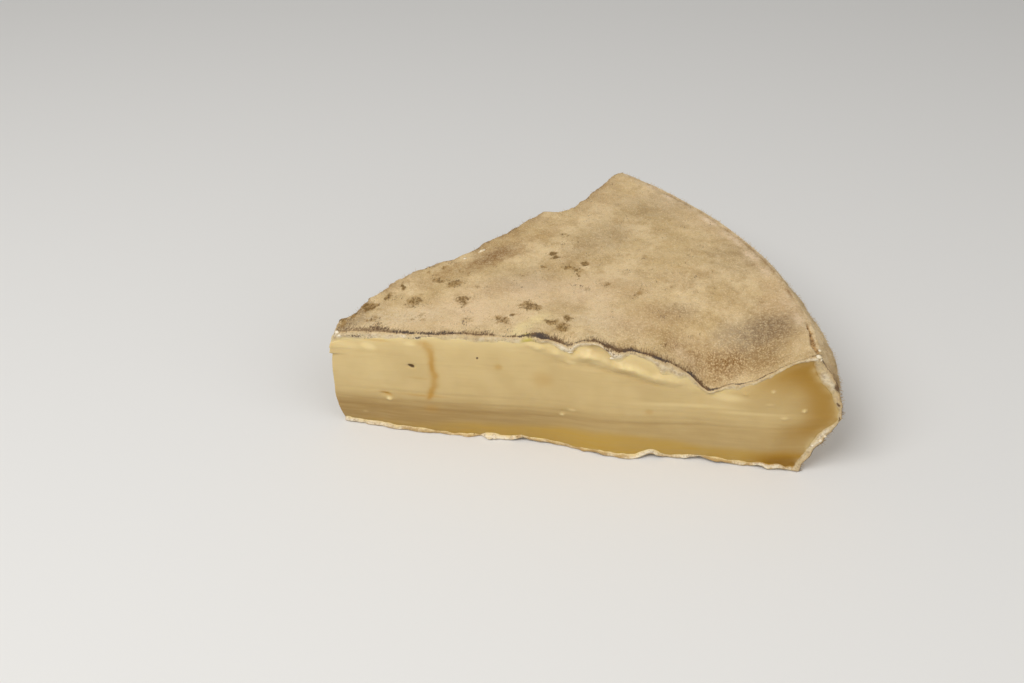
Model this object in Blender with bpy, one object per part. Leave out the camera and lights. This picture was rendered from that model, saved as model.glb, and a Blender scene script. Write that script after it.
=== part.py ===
"""A wedge of soft-ripened cow's milk cheese, cut from a low round wheel and lying on its flat underside.

Frame: metres, +Z up. The front cut runs along +X, from the blunt tip at -X to the rim wall at +X, and
faces -Y. The origin is under the middle of the wedge's box, on the plane that the wedge rests on.

The shape is a block with a grid on its six sides, and each grid point is carried to its place on the
wedge by three shares: u from the tip to the rim, v from the front cut to the back cut, w from the
underside to the top. All places below are measured from the foot of the tip's front corner.
"""

import math

import bmesh
import bpy

MM = 0.001

# The wheel that the wedge was cut from. The knife missed its middle by a little.
WHEEL_MIDDLE = (15.1 * MM, -7.7 * MM)
WHEEL_RADIUS = 102.2 * MM
WALL_SWELL = 7.9 * MM
WALL_WIDEST_AT = 0.48
WALL_ROUND_AT_CUT = 1.6
WALL_ROUND = 2.6
UNDERCUT_POWER = 1.3
SAGGED_SHARE = 0.1
MEETS_CUT_POWER = 6

# The outline, seen from above.
TIP_WIDTH = 4.4 * MM
RIM_FRONT = (117.4 * MM, 0.0)
RIM_BACK = (63.1 * MM, 83.0 * MM)
FOOT_SPREAD = 0.9 * MM

# Heights: the rim wall stands, and the soft paste has sunk towards the tip.
TIP_HEIGHT = 29.2 * MM
RIM_HEIGHT = 36.7 * MM
RISE_POWER = 0.8
WALL_HOLDS_FROM = 0.93

# The cut faces swell out a little between the two skins.
TIP_SWELL = 2.7 * MM
FRONT_SWELL = 1.5 * MM
BACK_SWELL = 1.0 * MM
SWELL_POWER = 3.2
TIP_ROUND = 9.0 * MM
CORNER_SHARE = 0.07

# Where the front top edge has sunk or been lifted: place along the cut, height, half-width before
# it, half-width after it, and how far it reaches into the top.
EDGE_WAVES = (
    (93.2 * MM, -9.0 * MM, 12.0 * MM, 16.0 * MM, 10.5 * MM),
    (93.2 * MM, -2.9 * MM, 3.5 * MM, 3.5 * MM, 4.0 * MM),
    (102.5 * MM, -2.5 * MM, 6.0 * MM, 7.0 * MM, 9.0 * MM),
    (71.0 * MM, -1.6 * MM, 3.2 * MM, 9.0 * MM, 5.0 * MM),
    (64.5 * MM, 1.0 * MM, 3.4 * MM, 2.8 * MM, 4.0 * MM),
    (58.2 * MM, -1.9 * MM, 2.2 * MM, 2.2 * MM, 3.0 * MM),
    (49.5 * MM, 0.8 * MM, 2.4 * MM, 3.6 * MM, 5.0 * MM),
)
EDGE_WAVE_POWER = 1.4

# Where the front bottom edge stands out or in: place along the cut, distance out, half-width.
FOOT_WAVES = (
    (22.0 * MM, 1.4 * MM, 15.0 * MM),
    (71.0 * MM, 2.4 * MM, 11.0 * MM),
    (93.5 * MM, -0.8 * MM, 6.0 * MM),
)

# Where the back cut leaves a straight line: place along it, distance out, half-widths before and after.
BACK_WAVES = (
    (21.0 * MM, 2.8 * MM, 13.0 * MM, 12.0 * MM),
    (50.0 * MM, -0.9 * MM, 12.0 * MM, 12.0 * MM),
    (76.6 * MM, -3.9 * MM, 3.8 * MM, 11.0 * MM),
)

# Shallow hollows and rises of the top: place, height and half-width.
TOP_WAVES = (
    (102.0 * MM, 24.0 * MM, -0.9 * MM, 11.0 * MM),
    (84.0 * MM, 34.0 * MM, 0.6 * MM, 14.0 * MM),
    (60.0 * MM, 30.0 * MM, -0.5 * MM, 12.0 * MM),
    (35.0 * MM, 18.0 * MM, 0.5 * MM, 12.0 * MM),
)

CELLS_ALONG = 54
CELLS_ACROSS = 22
CELLS_UP = 11

RIND_COLOUR = (0.46, 0.37, 0.24, 1.0)
PASTE_COLOUR = (0.72, 0.59, 0.31, 1.0)


def hump(distance, before, after):
    """A smooth hump, 1 at the middle, with its own half-width on each side."""
    width = before if distance < 0 else after
    return math.exp(-((distance / width) ** 2))


def clamp(value):
    return min(1.0, max(0.0, value))


def blend(start, end, share):
    return start + share * (end - start)


def unit(x, y):
    length = math.hypot(x, y)
    return x / length, y / length


def heading(point):
    """Angle of a point of the outline, seen from the middle of the wheel."""
    return math.atan2(point[1] - WHEEL_MIDDLE[1], point[0] - WHEEL_MIDDLE[0])


def front_edge(u):
    return u * RIM_FRONT[0], 0.0


def back_edge(u):
    """The back cut: a straight line with a swell near the tip and a torn bay near the rim."""
    along = unit(RIM_BACK[0], RIM_BACK[1] - TIP_WIDTH)
    run = u * math.hypot(RIM_BACK[0], RIM_BACK[1] - TIP_WIDTH)
    out = sum(size * hump(run - place, before, after) for place, size, before, after in BACK_WAVES)
    out *= clamp(min(u, 1 - u) / CORNER_SHARE)
    return run * along[0] - out * along[1], TIP_WIDTH + run * along[1] + out * along[0]


def tip_edge(v):
    return 0.0, v * TIP_WIDTH


def rim_edge(v):
    """The round of the wheel, drawn so that it meets both cuts."""
    start = heading(RIM_FRONT)
    end = heading(RIM_BACK)
    angle = blend(start, end, v)
    first = math.dist(RIM_FRONT, WHEEL_MIDDLE) - WHEEL_RADIUS
    last = math.dist(RIM_BACK, WHEEL_MIDDLE) - WHEEL_RADIUS
    radius = WHEEL_RADIUS + first * (1 - v) ** MEETS_CUT_POWER + last * v**MEETS_CUT_POWER
    return WHEEL_MIDDLE[0] + radius * math.cos(angle), WHEEL_MIDDLE[1] + radius * math.sin(angle)


def plan_point(u, v):
    """A point inside the outline, blended from its four edges."""
    tip_front, tip_back = tip_edge(0), tip_edge(1)
    rim_front, rim_back = rim_edge(0), rim_edge(1)
    point = []
    for i in range(2):
        between_cuts = blend(front_edge(u)[i], back_edge(u)[i], v)
        between_ends = blend(tip_edge(v)[i], rim_edge(v)[i], u)
        between_corners = blend(blend(tip_front[i], tip_back[i], v), blend(rim_front[i], rim_back[i], v), u)
        point.append(between_cuts + between_ends - between_corners)
    return point[0], point[1]


def top_height(x, y):
    """Height of the top skin: a slow rise to the rim, with the sunken front edge and shallow hollows."""
    reach = math.hypot(x, y) / RIM_FRONT[0]
    height = blend(TIP_HEIGHT, RIM_HEIGHT, clamp(reach) ** RISE_POWER)
    for place, size, before, after, depth in EDGE_WAVES:
        fade = math.exp(-((max(y, 0.0) / depth) ** EDGE_WAVE_POWER))
        height += size * hump(x - place, before, after) * fade
    for place_x, place_y, size, width in TOP_WAVES:
        height += size * hump(math.hypot(x - place_x, y - place_y), width, width)
    # The wall holds the skin up to full height, whatever sinks beside it.
    wall = clamp((reach - WALL_HOLDS_FROM) / (1 - WALL_HOLDS_FROM))
    return blend(height, RIM_HEIGHT, wall**2)


def face_swell(w):
    """Share of the swell of a cut face: none at the two skins, full between them."""
    return 1 - abs(2 * w - 1) ** SWELL_POWER


def wall_swell(v, w):
    """Share of the swell of the rim wall: round above and below its widest, but straighter and more
    undercut where the front cut has let it sag."""
    whole = clamp(v / SAGGED_SHARE)
    if w < WALL_WIDEST_AT:
        rise = w / WALL_WIDEST_AT
        return blend(rise**UNDERCUT_POWER, rise**2 * (3 - 2 * rise), whole)
    fall = (w - WALL_WIDEST_AT) / (1 - WALL_WIDEST_AT)
    return 1 - fall ** blend(WALL_ROUND_AT_CUT, WALL_ROUND, whole)


def wedge_point(u, v, w):
    """The place on the wedge of a point on the block's surface."""
    x, y = plan_point(u, v)
    z = w * top_height(x, y)
    if u == 1:
        out = unit(x - WHEEL_MIDDLE[0], y - WHEEL_MIDDLE[1])
        step = WALL_SWELL * wall_swell(v, w) + FOOT_SPREAD * (1 - w)
        x += out[0] * step
        y += out[1] * step
    if u == 0 or v == 0 or v == 1:
        x -= TIP_SWELL * face_swell(w) * hump(math.hypot(x, y), TIP_ROUND, TIP_ROUND)
    fade = clamp((1 - u) / CORNER_SHARE)
    if v == 0:
        foot = sum(size * hump(x - place, width, width) for place, size, width in FOOT_WAVES)
        y -= fade * (FRONT_SWELL * face_swell(w) + foot * (1 - w) ** 2)
    if v == 1:
        along = unit(RIM_BACK[0], RIM_BACK[1] - TIP_WIDTH)
        x -= fade * BACK_SWELL * face_swell(w) * along[1]
        y += fade * BACK_SWELL * face_swell(w) * along[0]
    return x, y, z


def block(cells):
    """A unit block whose six sides are grids with these numbers of cells."""
    mesh = bmesh.new()
    bmesh.ops.create_cube(mesh, size=1.0)
    for axis, count in enumerate(cells):
        along = []
        for edge in mesh.edges:
            start, end = edge.verts
            if abs(start.co[axis] - end.co[axis]) > 0.5:
                along.append(edge)
        bmesh.ops.subdivide_edges(mesh, edges=along, cuts=count - 1, use_grid_fill=True)
    return mesh


def shares_of(vertex):
    """The vertex's u, v and w, with the sides of the block at exactly 0 and 1."""
    shares = []
    for value in vertex.co:
        share = value + 0.5
        if abs(share - round(share)) < 1e-5:
            share = float(round(share))
        shares.append(share)
    return shares


def finish(name, colour, roughness):
    """A Principled material of one colour."""
    material = bpy.data.materials.new(name)
    material.use_nodes = True
    shader = material.node_tree.nodes["Principled BSDF"]
    shader.inputs["Base Color"].default_value = colour
    shader.inputs["Roughness"].default_value = roughness
    shader.inputs["Metallic"].default_value = 0.0
    return material


def set_skins(mesh):
    """The top, underside and rim wall are rind, material 0. The cut faces are paste, material 1."""
    for face in mesh.faces:
        shares = [shares_of(vertex) for vertex in face.verts]
        on_tip = all(share[0] == 0 for share in shares)
        on_front = all(share[1] == 0 for share in shares)
        on_back = all(share[1] == 1 for share in shares)
        face.material_index = int(on_tip or on_front or on_back)


def centre(mesh):
    """Puts the middle of the wedge's box over the origin."""
    for axis in range(2):
        places = [vertex.co[axis] for vertex in mesh.verts]
        middle = (min(places) + max(places)) / 2
        for vertex in mesh.verts:
            vertex.co[axis] -= middle


def cheese_wedge(collection):
    mesh = block((CELLS_ALONG, CELLS_ACROSS, CELLS_UP))
    set_skins(mesh)
    for vertex, shares in [(vertex, shares_of(vertex)) for vertex in mesh.verts]:
        vertex.co = wedge_point(*shares)
    centre(mesh)
    bmesh.ops.recalc_face_normals(mesh, faces=mesh.faces)
    data = bpy.data.meshes.new("cheese_wedge")
    mesh.to_mesh(data)
    mesh.free()
    data.materials.append(finish("rind", RIND_COLOUR, 0.9))
    data.materials.append(finish("paste", PASTE_COLOUR, 0.45))
    data.shade_smooth()
    data.set_sharp_from_angle(angle=math.radians(40))
    wedge = bpy.data.objects.new("cheese_wedge", data)
    collection.objects.link(wedge)


def main():
    for thing in list(bpy.data.objects):
        bpy.data.objects.remove(thing)
    collection = bpy.data.collections.new("cheese wedge")
    bpy.context.scene.collection.children.link(collection)
    cheese_wedge(collection)


main()
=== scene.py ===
import itertools
import math
import time

import bpy
import numpy as np
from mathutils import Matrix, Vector


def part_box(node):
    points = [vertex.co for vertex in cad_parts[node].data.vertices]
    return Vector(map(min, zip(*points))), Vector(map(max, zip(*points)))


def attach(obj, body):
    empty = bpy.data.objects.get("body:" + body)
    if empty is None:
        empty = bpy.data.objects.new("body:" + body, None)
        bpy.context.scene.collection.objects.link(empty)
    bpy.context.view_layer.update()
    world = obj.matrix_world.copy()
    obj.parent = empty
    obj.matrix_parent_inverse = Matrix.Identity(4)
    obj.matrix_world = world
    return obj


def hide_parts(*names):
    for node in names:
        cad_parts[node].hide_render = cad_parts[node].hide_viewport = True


startedAt = time.time()
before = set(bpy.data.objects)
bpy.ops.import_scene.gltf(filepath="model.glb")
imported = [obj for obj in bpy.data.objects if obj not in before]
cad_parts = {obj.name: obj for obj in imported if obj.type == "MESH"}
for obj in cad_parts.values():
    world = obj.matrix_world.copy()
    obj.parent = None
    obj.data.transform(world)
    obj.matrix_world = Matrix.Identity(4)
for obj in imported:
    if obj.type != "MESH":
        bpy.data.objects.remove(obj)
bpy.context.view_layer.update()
mm = 0.001


# The wedge's body, in mm, measured from the foot of the tip's front corner: +X along the front cut,
# +Y to the back cut. These are the model's own sizes, so that the pieces lie where the solid does.
body = {
    "footFromBox": (2.904, 2.77),  # from the box's low corner to that foot
    "wheelMiddle": (15.1, -7.7),
    "wheelRadius": 102.2,
    "wallSwell": 7.9,
    "wallWidestAt": 0.48,
    "wallRoundAtCut": 1.6,
    "wallRound": 2.6,
    "undercutPower": 1.3,
    "saggedShare": 0.1,
    "meetsCutPower": 6,
    "tipBack": (0.6, 4.4),
    "tipNose": (0.7, 0.06),  # how far the tip's middle bulges, and over what share of the way to the rim
    "rimFront": (117.4, 0),
    "rimBack": (63.4, 84.3),
    "footSpread": 0.9,
    "tipHeight": 29.2,
    "rimHeight": 36.7,
    "risePower": 0.8,
    "wallHoldsFrom": 0.93,
    "tipSwell": 1.9,
    "tipSwellByFoot": (0.4, 0.35),  # share of it at the foot, and the height share where it is whole
    "frontSwell": 1.5,
    "backSwell": 1,
    "swellPower": 3.2,
    "tipRound": 9,
    "cornerShare": 0.07,
    "swellFrom": 0.82,  # share of the way to the rim where the cut face starts to follow the wall
    # place along the front cut, height, half-width before it, half-width after it, depth into the top
    "edgeWaves": (
        (93.2, -9, 12, 16, 10.5), (93.2, -2.9, 3.5, 3.5, 4), (102.5, -2.5, 6, 7, 9), (71, -1.6, 3.2, 9, 5),
        (64.5, 1, 3.4, 2.8, 4), (58.2, -1.3, 2.6, 2.6, 3), (49.5, 0.8, 2.4, 3.6, 5),
    ),
    "edgeWavePower": 1.4,
    "footWaves": ((22, 1.4, 15), (71, 2.4, 11), (93.5, -0.8, 6)),
    "backWaves": ((9, 0.4, 5, 6), (21, 2.8, 13, 12), (50, -0.9, 12, 12), (75.8, -5.2, 4.6, 12)),
    "topWaves": ((102, 24, -0.9, 11), (84, 34, 0.6, 14), (60, 30, -0.5, 12), (35, 18, 0.5, 12)),
}

# Thickness of the skin where the cuts show it, in mm: place along the cut (on the wall: height),
# thickness.
skin = {
    "top": (
        (0, 2.5), (12, 2.3), (18, 1.9), (25, 1.6), (36, 1.9), (45, 1.6), (50, 1.3), (55, 1.4), (58.7, 2.5),
        (61.5, 1.5), (65, 1.4), (67.5, 1.6), (69.6, 2.8), (72.5, 1.8), (75, 1.1), (78, 1.8), (81, 3.2),
        (85, 2.8), (88, 1.4), (92, 1), (97, 1.3), (104, 1.7), (110, 2), (117, 2.2),
    ),
    "foot": (
        (0, 1.5), (8, 1.25), (14, 1), (20, 0.9), (24, 0.6), (28, 0.45), (35, 0.45), (36.2, 0.3),
        (37.5, 1.5), (41, 1.5), (44, 1.1), (50, 0.8), (60, 0.9), (66, 0.8), (71, 1.4), (75, 0.9), (80, 1.5),
        (84, 1), (90, 1.3), (95, 0.8), (102, 1), (108.5, 1.3), (117, 1.5),
    ),
    "footLift": (  # place, height, half-width: where the underside's edge curls up
        (47.5, 0.9, 2), (52.5, 0.4, 2.5), (67.5, 0.5, 1.5), (81, 1.2, 2.4), (93, 0.9, 2.6), (98, 0.5, 3),
        (108, 0.6, 1.5), (113, 0.5, 2),
    ),
    "wall": (
        (0, 1.9), (5, 1.9), (9, 2.2), (12, 2.4), (14, 2.1), (15.5, 1.3), (17.5, 0.9), (21, 1.2), (24, 1.6),
        (26.5, 2.4), (29, 3.3), (32, 3.8), (35, 3.5), (36.7, 3),
    ),
    "wallElsewhere": 1.6,
    "wallSettles": 0.06,  # share of the way round the wall until it has that thickness
    "liftPower": 6,  # how soon the curl dies out under the wedge
    "liftReach": 2.5,
    "overlap": 0.5,  # how far the paste reaches into the skin
    "leastFoot": 0.05,  # the paste stays this far above the floor
    "sunk": 0.9,  # and how much lower its hidden faces lie away from the cuts
}


def clamp(value):
    return np.clip(value, 0.0, 1.0)


def blend(start, end, share):
    return start + share * (end - start)


def smooth(value, low, high):
    share = clamp((value - low) / (high - low))
    return share * share * (3 - 2 * share)


def hump(distance, before, after=None):
    width = before if after is None else np.where(distance < 0, before, after)
    return np.exp(-((distance / width) ** 2))


def fading(distance, strength, reach, power=1):
    return strength * np.exp(-((distance / reach) ** power))


def along(table, place):
    # Reads a short table of (place, value) pairs.
    places, values = zip(*table)
    return np.interp(place, places, values)


def noiseAt(points, size, seed):
    # Smooth lumps of this size in mm, from -1 to 1.
    spot = points / size + 17.31 * seed
    cell = np.floor(spot).astype(np.int64)
    part = spot - cell
    part = part**3 * (part * (part * 6 - 15) + 10)
    total = np.zeros(len(points))
    for corner in itertools.product((0, 1), repeat=3):
        x, y, z = (cell + corner).T
        mixed = ((x * 73856093) ^ (y * 19349663) ^ (z * 83492791) ^ (seed * 1013904223)) & 0xFFFFFFFF
        mixed = ((mixed ^ (mixed >> 15)) * 739982445) & 0xFFFFFFFF
        mixed = ((mixed ^ (mixed >> 13)) * 695872825) & 0xFFFFFFFF
        weight = np.prod(np.where(corner, part, 1 - part), axis=1)
        total += weight * ((mixed ^ (mixed >> 16)) & 0xFFFF) / 0xFFFF
    return total * 2 - 1


def unevenness(points, layers):
    # Sum of noise layers, each with its lump size, height and seed.
    return sum(height * noiseAt(points, size, seed) for size, height, seed in layers)


def bumps(table, run):
    # Sum of smooth bumps along a cut: place, size, half-width (or one before it and one after it).
    return sum(size * hump(run - spot, *widths) for spot, size, *widths in table)


def layFlat(x, z, depth=0):
    # Points of a cut as seen from its side, at this depth.
    return np.stack([x, z, depth + 0 * x], axis=-1)


def backLine():
    # Unit direction of the back cut in plan, and its length.
    run = np.subtract(body["rimBack"], body["tipBack"])
    length = np.hypot(*run)
    return run / length, length


def planPoint(u, v):
    # A place in the outline, seen from above: u from tip to rim, v from the front cut to the back cut.
    middle, radius, power = body["wheelMiddle"], body["wheelRadius"], body["meetsCutPower"]
    tipBack, rimFront, rimBack = body["tipBack"], body["rimFront"], body["rimBack"]
    direction, length = backLine()
    run = u * length
    out = bumps(body["backWaves"], run) * clamp(np.minimum(u, 1 - u) / body["cornerShare"])
    backX = tipBack[0] + run * direction[0] - out * direction[1]
    backY = tipBack[1] + run * direction[1] + out * direction[0]
    start, end = (math.atan2(p[1] - middle[1], p[0] - middle[0]) for p in (rimFront, rimBack))
    first, last = (math.dist(p, middle) - radius for p in (rimFront, rimBack))
    angle = blend(start, end, v)
    reach = radius + first * (1 - v) ** power + last * v**power
    rim = middle[0] + reach * np.cos(angle), middle[1] + reach * np.sin(angle)
    found = []
    for i, back in enumerate((backX, backY)):
        corners = blend(tipBack[i] * v, blend(rimFront[i], rimBack[i], v), u)
        found.append(blend(u * rimFront[i], back, v) + blend(v * tipBack[i], rim[i], u) - corners)
    return found


def topHeight(x, y):
    reach = np.hypot(x, y) / body["rimFront"][0]
    height = blend(body["tipHeight"], body["rimHeight"], clamp(reach) ** body["risePower"])
    for place, size, before, after, depth in body["edgeWaves"]:
        fade = np.exp(-((np.maximum(y, 0) / depth) ** body["edgeWavePower"]))
        height = height + size * hump(x - place, before, after) * fade
    for placeX, placeY, size, width in body["topWaves"]:
        height = height + size * hump(np.hypot(x - placeX, y - placeY), width)
    wall = clamp((reach - body["wallHoldsFrom"]) / (1 - body["wallHoldsFrom"]))
    return blend(height, body["rimHeight"], wall**2)


def faceSwell(w):
    return 1 - np.abs(2 * clamp(w) - 1) ** body["swellPower"]


def wallSwell(v, w):
    whole = clamp(v / body["saggedShare"])
    rise = clamp(w / body["wallWidestAt"])
    fall = clamp((w - body["wallWidestAt"]) / (1 - body["wallWidestAt"]))
    under = blend(rise ** body["undercutPower"], rise**2 * (3 - 2 * rise), whole)
    over = 1 - fall ** blend(body["wallRoundAtCut"], body["wallRound"], whole)
    return np.where(w < body["wallWidestAt"], under, over)


def wedgePoint(u, v, w, topSkin=0.0, wallSkin=0.0, footSkin=0.0):
    # A point of the wedge, or of what is left of it under skins of these thicknesses.
    x, y = planPoint(u, v)
    top = topHeight(x, y)
    z = footSkin + w * (top - topSkin - footSkin)
    w = z / top
    outX, outY = x - body["wheelMiddle"][0], y - body["wheelMiddle"][1]
    length = np.hypot(outX, outY)
    share = clamp((u - body["swellFrom"]) / (1 - body["swellFrom"])) ** 2
    step = share * (body["wallSwell"] * wallSwell(v, w) + body["footSpread"] * (1 - w) - wallSkin)
    x = x + outX / length * step
    y = y + outY / length * step
    onCut = (u == 0) | (v == 0) | (v == 1)
    least, until = body["tipSwellByFoot"]
    byFoot = smooth(w, 0.0, until)
    swell = body["tipSwell"] * faceSwell(w) * (least + (1 - least) * byFoot)
    nose, reach = body["tipNose"]
    x = x - onCut * swell * hump(np.hypot(x, y), body["tipRound"])
    x = x - nose * 4 * v * (1 - v) * clamp(1 - u / reach) ** 2 * byFoot
    fade = clamp((1 - u) / body["cornerShare"])
    direction, _ = backLine()
    foot = bumps(body["footWaves"], x) * (1 - w) ** 2
    y = y - (v == 0) * fade * (body["frontSwell"] * faceSwell(w) + foot)
    back = (v == 1) * fade * body["backSwell"] * faceSwell(w)
    return np.stack([x - back * direction[1], y + back * direction[0], z], axis=-1)


def topSkinAt(u):
    return along(skin["top"], u * body["rimFront"][0])


def footLiftAt(u, v):
    return bumps(skin["footLift"], u * body["rimFront"][0]) * (1 - v) ** skin["liftPower"]


def footSkinAt(u, v):
    return along(skin["foot"], u * body["rimFront"][0]) + footLiftAt(u, v)


def wallSkinAt(v, z):
    return blend(along(skin["wall"], z), skin["wallElsewhere"], smooth(v, 0.0, skin["wallSettles"]))


# What the knife and the soft paste did to the front cut, in mm: a pressed ridge under the skin,
# ledges by the tip, eyes, pits and pimples.
cutMarks = {
    "ridge": (
        (45, 31), (49.1, 31.5), (52.6, 30.9), (56.1, 30), (58.3, 28.9), (61.7, 30.3), (64.3, 30.7),
        (66.6, 29.9), (69.3, 28.5), (72.9, 28.3), (75.6, 27.7), (78.9, 26.4), (82.2, 26), (85.8, 25),
        (88.7, 23.5), (92, 22.4), (96, 22.8), (104, 25.4), (112, 29),
    ),
    "ridgeSize": (
        (45, 0), (49, 0.3), (53, 0.7), (56, 0.6), (58.3, 0.2), (60.5, 0.8), (64, 1.15), (67, 1),
        (69.3, 0.35), (72, 1), (76, 1.1), (79, 0.65), (82, 0.9), (85, 0.6), (88, 0.2), (92, 0.15),
        (97, 0.2), (104, 0),
    ),
    "ridgeWidths": (1.3, 1.1),  # below its crest and above it
    "ridgeWaves": (4.5, 0.45, 6),  # lump size, share, seed
    "ridgeRough": ((1.6, 0.17, 7), (0.7, 0.08, 8)),
    "crease": (
        (52, 28), (56, 27.4), (59, 26.7), (63.2, 28), (66.7, 27.3), (69, 26.4), (71.3, 25.8), (73, 25.9),
        (77.3, 24.8), (80.7, 24), (86, 22.8),
    ),
    "creaseSize": ((54, 0), (58, 0.3), (61, 0.12), (64, 0.28), (70, 0.36), (80, 0.28), (86, 0)),
    "creaseWidth": 0.5,
    "ledgeFoot": (-0.15, 0.2),  # how softly a ledge begins at its lower height
    "ledgeHead": (-0.4, 0.5),  # and ends at its upper one
    "ledges": (  # height from, height to, reach along the cut, size
        (22.8, 26.4, 2.6, 0.75), (24.6, 27.4, 9, 0.22), (27.2, 28.4, 12, 0.22),
    ),
    "pits": (  # place, height, half-length, half-height, depth; a pimple has a negative depth
        (12.9, 10.4, 0.85, 0.55, -0.45), (11.9, 11.7, 1.4, 0.45, 0.45), (19.1, 21.5, 0.95, 0.45, 0.5),
        (57.8, 11.5, 0.55, 0.4, -0.3), (58.2, 12.4, 0.6, 0.35, 0.3), (60.3, 13.3, 1.1, 0.35, -0.2),
        (36.1, 25.9, 0.3, 0.3, 0.2), (116.4, 19.9, 0.5, 0.45, -0.4), (112, 17.4, 0.9, 0.35, -0.2),
        (108, 21.2, 1, 0.35, -0.12), (108.3, 25.2, 0.5, 0.4, -0.2), (5.9, 4.7, 0.7, 0.35, -0.12),
        (64, 26.6, 2.6, 0.35, 0.16), (93.2, 22.6, 0.6, 0.4, -0.3), (102, 23.6, 0.6, 0.4, -0.3),
        (53, 22, 6, 2.2, 0.12),
    ),
    "backPits": (
        (24, 12, 0.8, 0.5, -0.4), (25.2, 13.3, 1, 0.4, 0.35), (47, 21, 1.3, 0.5, 0.35),
        (71, 9.5, 0.7, 0.45, -0.3), (88, 23.5, 0.6, 0.5, -0.35), (60, 27, 2.6, 0.4, 0.16),
        (34, 25, 0.4, 0.35, 0.3),
    ),
    "lines": (  # knife lines: two ends and a middle (place, height), half-width, depth, share of the colour
        ((0, 6.9), (57, 10.2), (123, 14.6), 0.45, 0.055, 1),
        ((0, 12.4), (57, 15.4), (117, 16.6), 0.4, 0.035, 0.4),
        ((0, 9.4), (57, 12.6), (117, 15.2), 0.35, 0.03, 0.4),
        ((14, 9.6), (57, 11.4), (117, 12.6), 0.35, 0.02, 0.4),
    ),
    "streaks": ((9, 1, 0.028), (5, 0.36, 0.014)),  # length, width, depth
    "streakRise": 0.045,  # how the knife's streaks climb towards the rim
    "waves": ((13, 0.26, 3), (5, 0.09, 4), (1.8, 0.03, 5)),
    "roundTip": (5, 5),  # where the relief goes round the tip: height it starts over, reach
}


def ridgeRelief(x, z):
    # The broad marks, which the skin's cut edge follows too.
    size, share, seed = cutMarks["ridgeWaves"]
    lumps = 1 + share * noiseAt(layFlat(x, 1.6 * z), size, seed)
    crest = hump(z - along(cutMarks["ridge"], x), *cutMarks["ridgeWidths"])
    out = along(cutMarks["ridgeSize"], x) * lumps * crest
    rough = clamp(2 * out) * unevenness(layFlat(x, z), cutMarks["ridgeRough"])
    fold = hump(z - along(cutMarks["crease"], x), cutMarks["creaseWidth"])
    out = out - along(cutMarks["creaseSize"], x) * lumps * fold + rough
    foot, head = cutMarks["ledgeFoot"], cutMarks["ledgeHead"]
    for low, high, reach, size in cutMarks["ledges"]:
        shelf = smooth(z, low + foot[0], low + foot[1]) * (1 - smooth(z, high + head[0], high + head[1]))
        out = out + size * shelf * fading(np.maximum(x + 2, 0), 1, reach, 2)
    return out


def lineHeight(line, run):
    places, heights = zip(*line[:3])
    return np.interp(run, places, heights)


def streakSpot(run, z, side):
    # Streak coordinates: far along the cut, close across it.
    return layFlat(run, z - cutMarks["streakRise"] * run, side)


backSeed = 40.0  # sets the back cut's streaks apart from the front's


def cutRelief(points, run, side):
    # How far a cut face stands out of its smooth swell.
    z = points[:, 2]
    out = unevenness(points, cutMarks["waves"])
    spot = streakSpot(run, z, side * backSeed)
    for i, (length, width, depth) in enumerate(cutMarks["streaks"]):
        out += depth * noiseAt(spot / (length, width, 1.0), 1.0, 11 + i)
    for line in cutMarks["lines"]:
        out -= line[4] * hump(z - lineHeight(line, run), line[3])
    if side == 0:
        out += ridgeRelief(points[:, 0], z)
    for place, height, length, width, depth in cutMarks["backPits" if side else "pits"]:
        out -= depth * hump(np.hypot((run - place) / length, (z - height) / width), 1.0)
    return out


def pushCut(points, onFront, onBack, onTip):
    # Moves points of the smooth cuts out by their relief. Near the tip the front's goes round the corner.
    direction, _ = backLine()
    run = np.where(onBack, points[:, 0] * direction[0] + points[:, 1] * direction[1], points[:, 0])
    front = np.where(onFront | onTip, cutRelief(points, run, 0), 0)
    back = np.where(onBack, cutRelief(points, run, 1), 0)
    rise, reach = cutMarks["roundTip"]
    byFoot = smooth(points[:, 2], 0.0, rise)
    moved = points.copy()
    moved[:, 1] -= np.where(onFront, front, 0)
    moved[:, 0] -= front * byFoot * hump(np.hypot(points[:, 0], points[:, 1]), reach)
    moved[:, 0] -= back * direction[1]
    moved[:, 1] += back * direction[0]
    return moved, run


def gridFaces(numbers, step=1):
    # Faces over a 2-D array of vertex numbers. With a step, the cells inside are wide and the border
    # keeps every vertex.
    if step == 1:
        corners = numbers[:-1, :-1], numbers[1:, :-1], numbers[1:, 1:], numbers[:-1, 1:]
        return np.stack(corners, axis=-1).reshape(-1, 4).tolist()
    lastRow, lastColumn = numbers.shape[0] - 1, numbers.shape[1] - 1
    rowCuts = sorted({*range(0, lastRow, step), lastRow})
    columnCuts = sorted({*range(0, lastColumn, step), lastColumn})
    faces = []
    for r0, r1 in zip(rowCuts, rowCuts[1:]):
        for c0, c1 in zip(columnCuts, columnCuts[1:]):
            loop = [(r, c0) for r in range(r0, r1, 1 if c0 == 0 else r1 - r0)]
            loop += [(r1, c) for c in range(c0, c1, 1 if r1 == lastRow else c1 - c0)]
            loop += [(r, c1) for r in range(r1, r0, -1 if c1 == lastColumn else r0 - r1)]
            loop += [(r0, c) for c in range(c1, c0, -1 if r0 == 0 else c0 - c1)]
            faces.append([int(numbers[spot]) for spot in loop])
    return faces


def crowd(t, share=0.66):
    # Spaces steps closer at both ends.
    return blend(t, 0.5 - 0.5 * np.cos(np.pi * t), share)


def place(points):
    # From mm off the tip's foot to metres in the row frame.
    low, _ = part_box("cheese_wedge")
    dx, dy = body["footFromBox"]
    return points * mm + (low.x + dx * mm, low.y + dy * mm, low.z)


def addObject(name, data):
    made = bpy.data.objects.new(name, data)
    bpy.context.scene.collection.objects.link(made)
    return made


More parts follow.
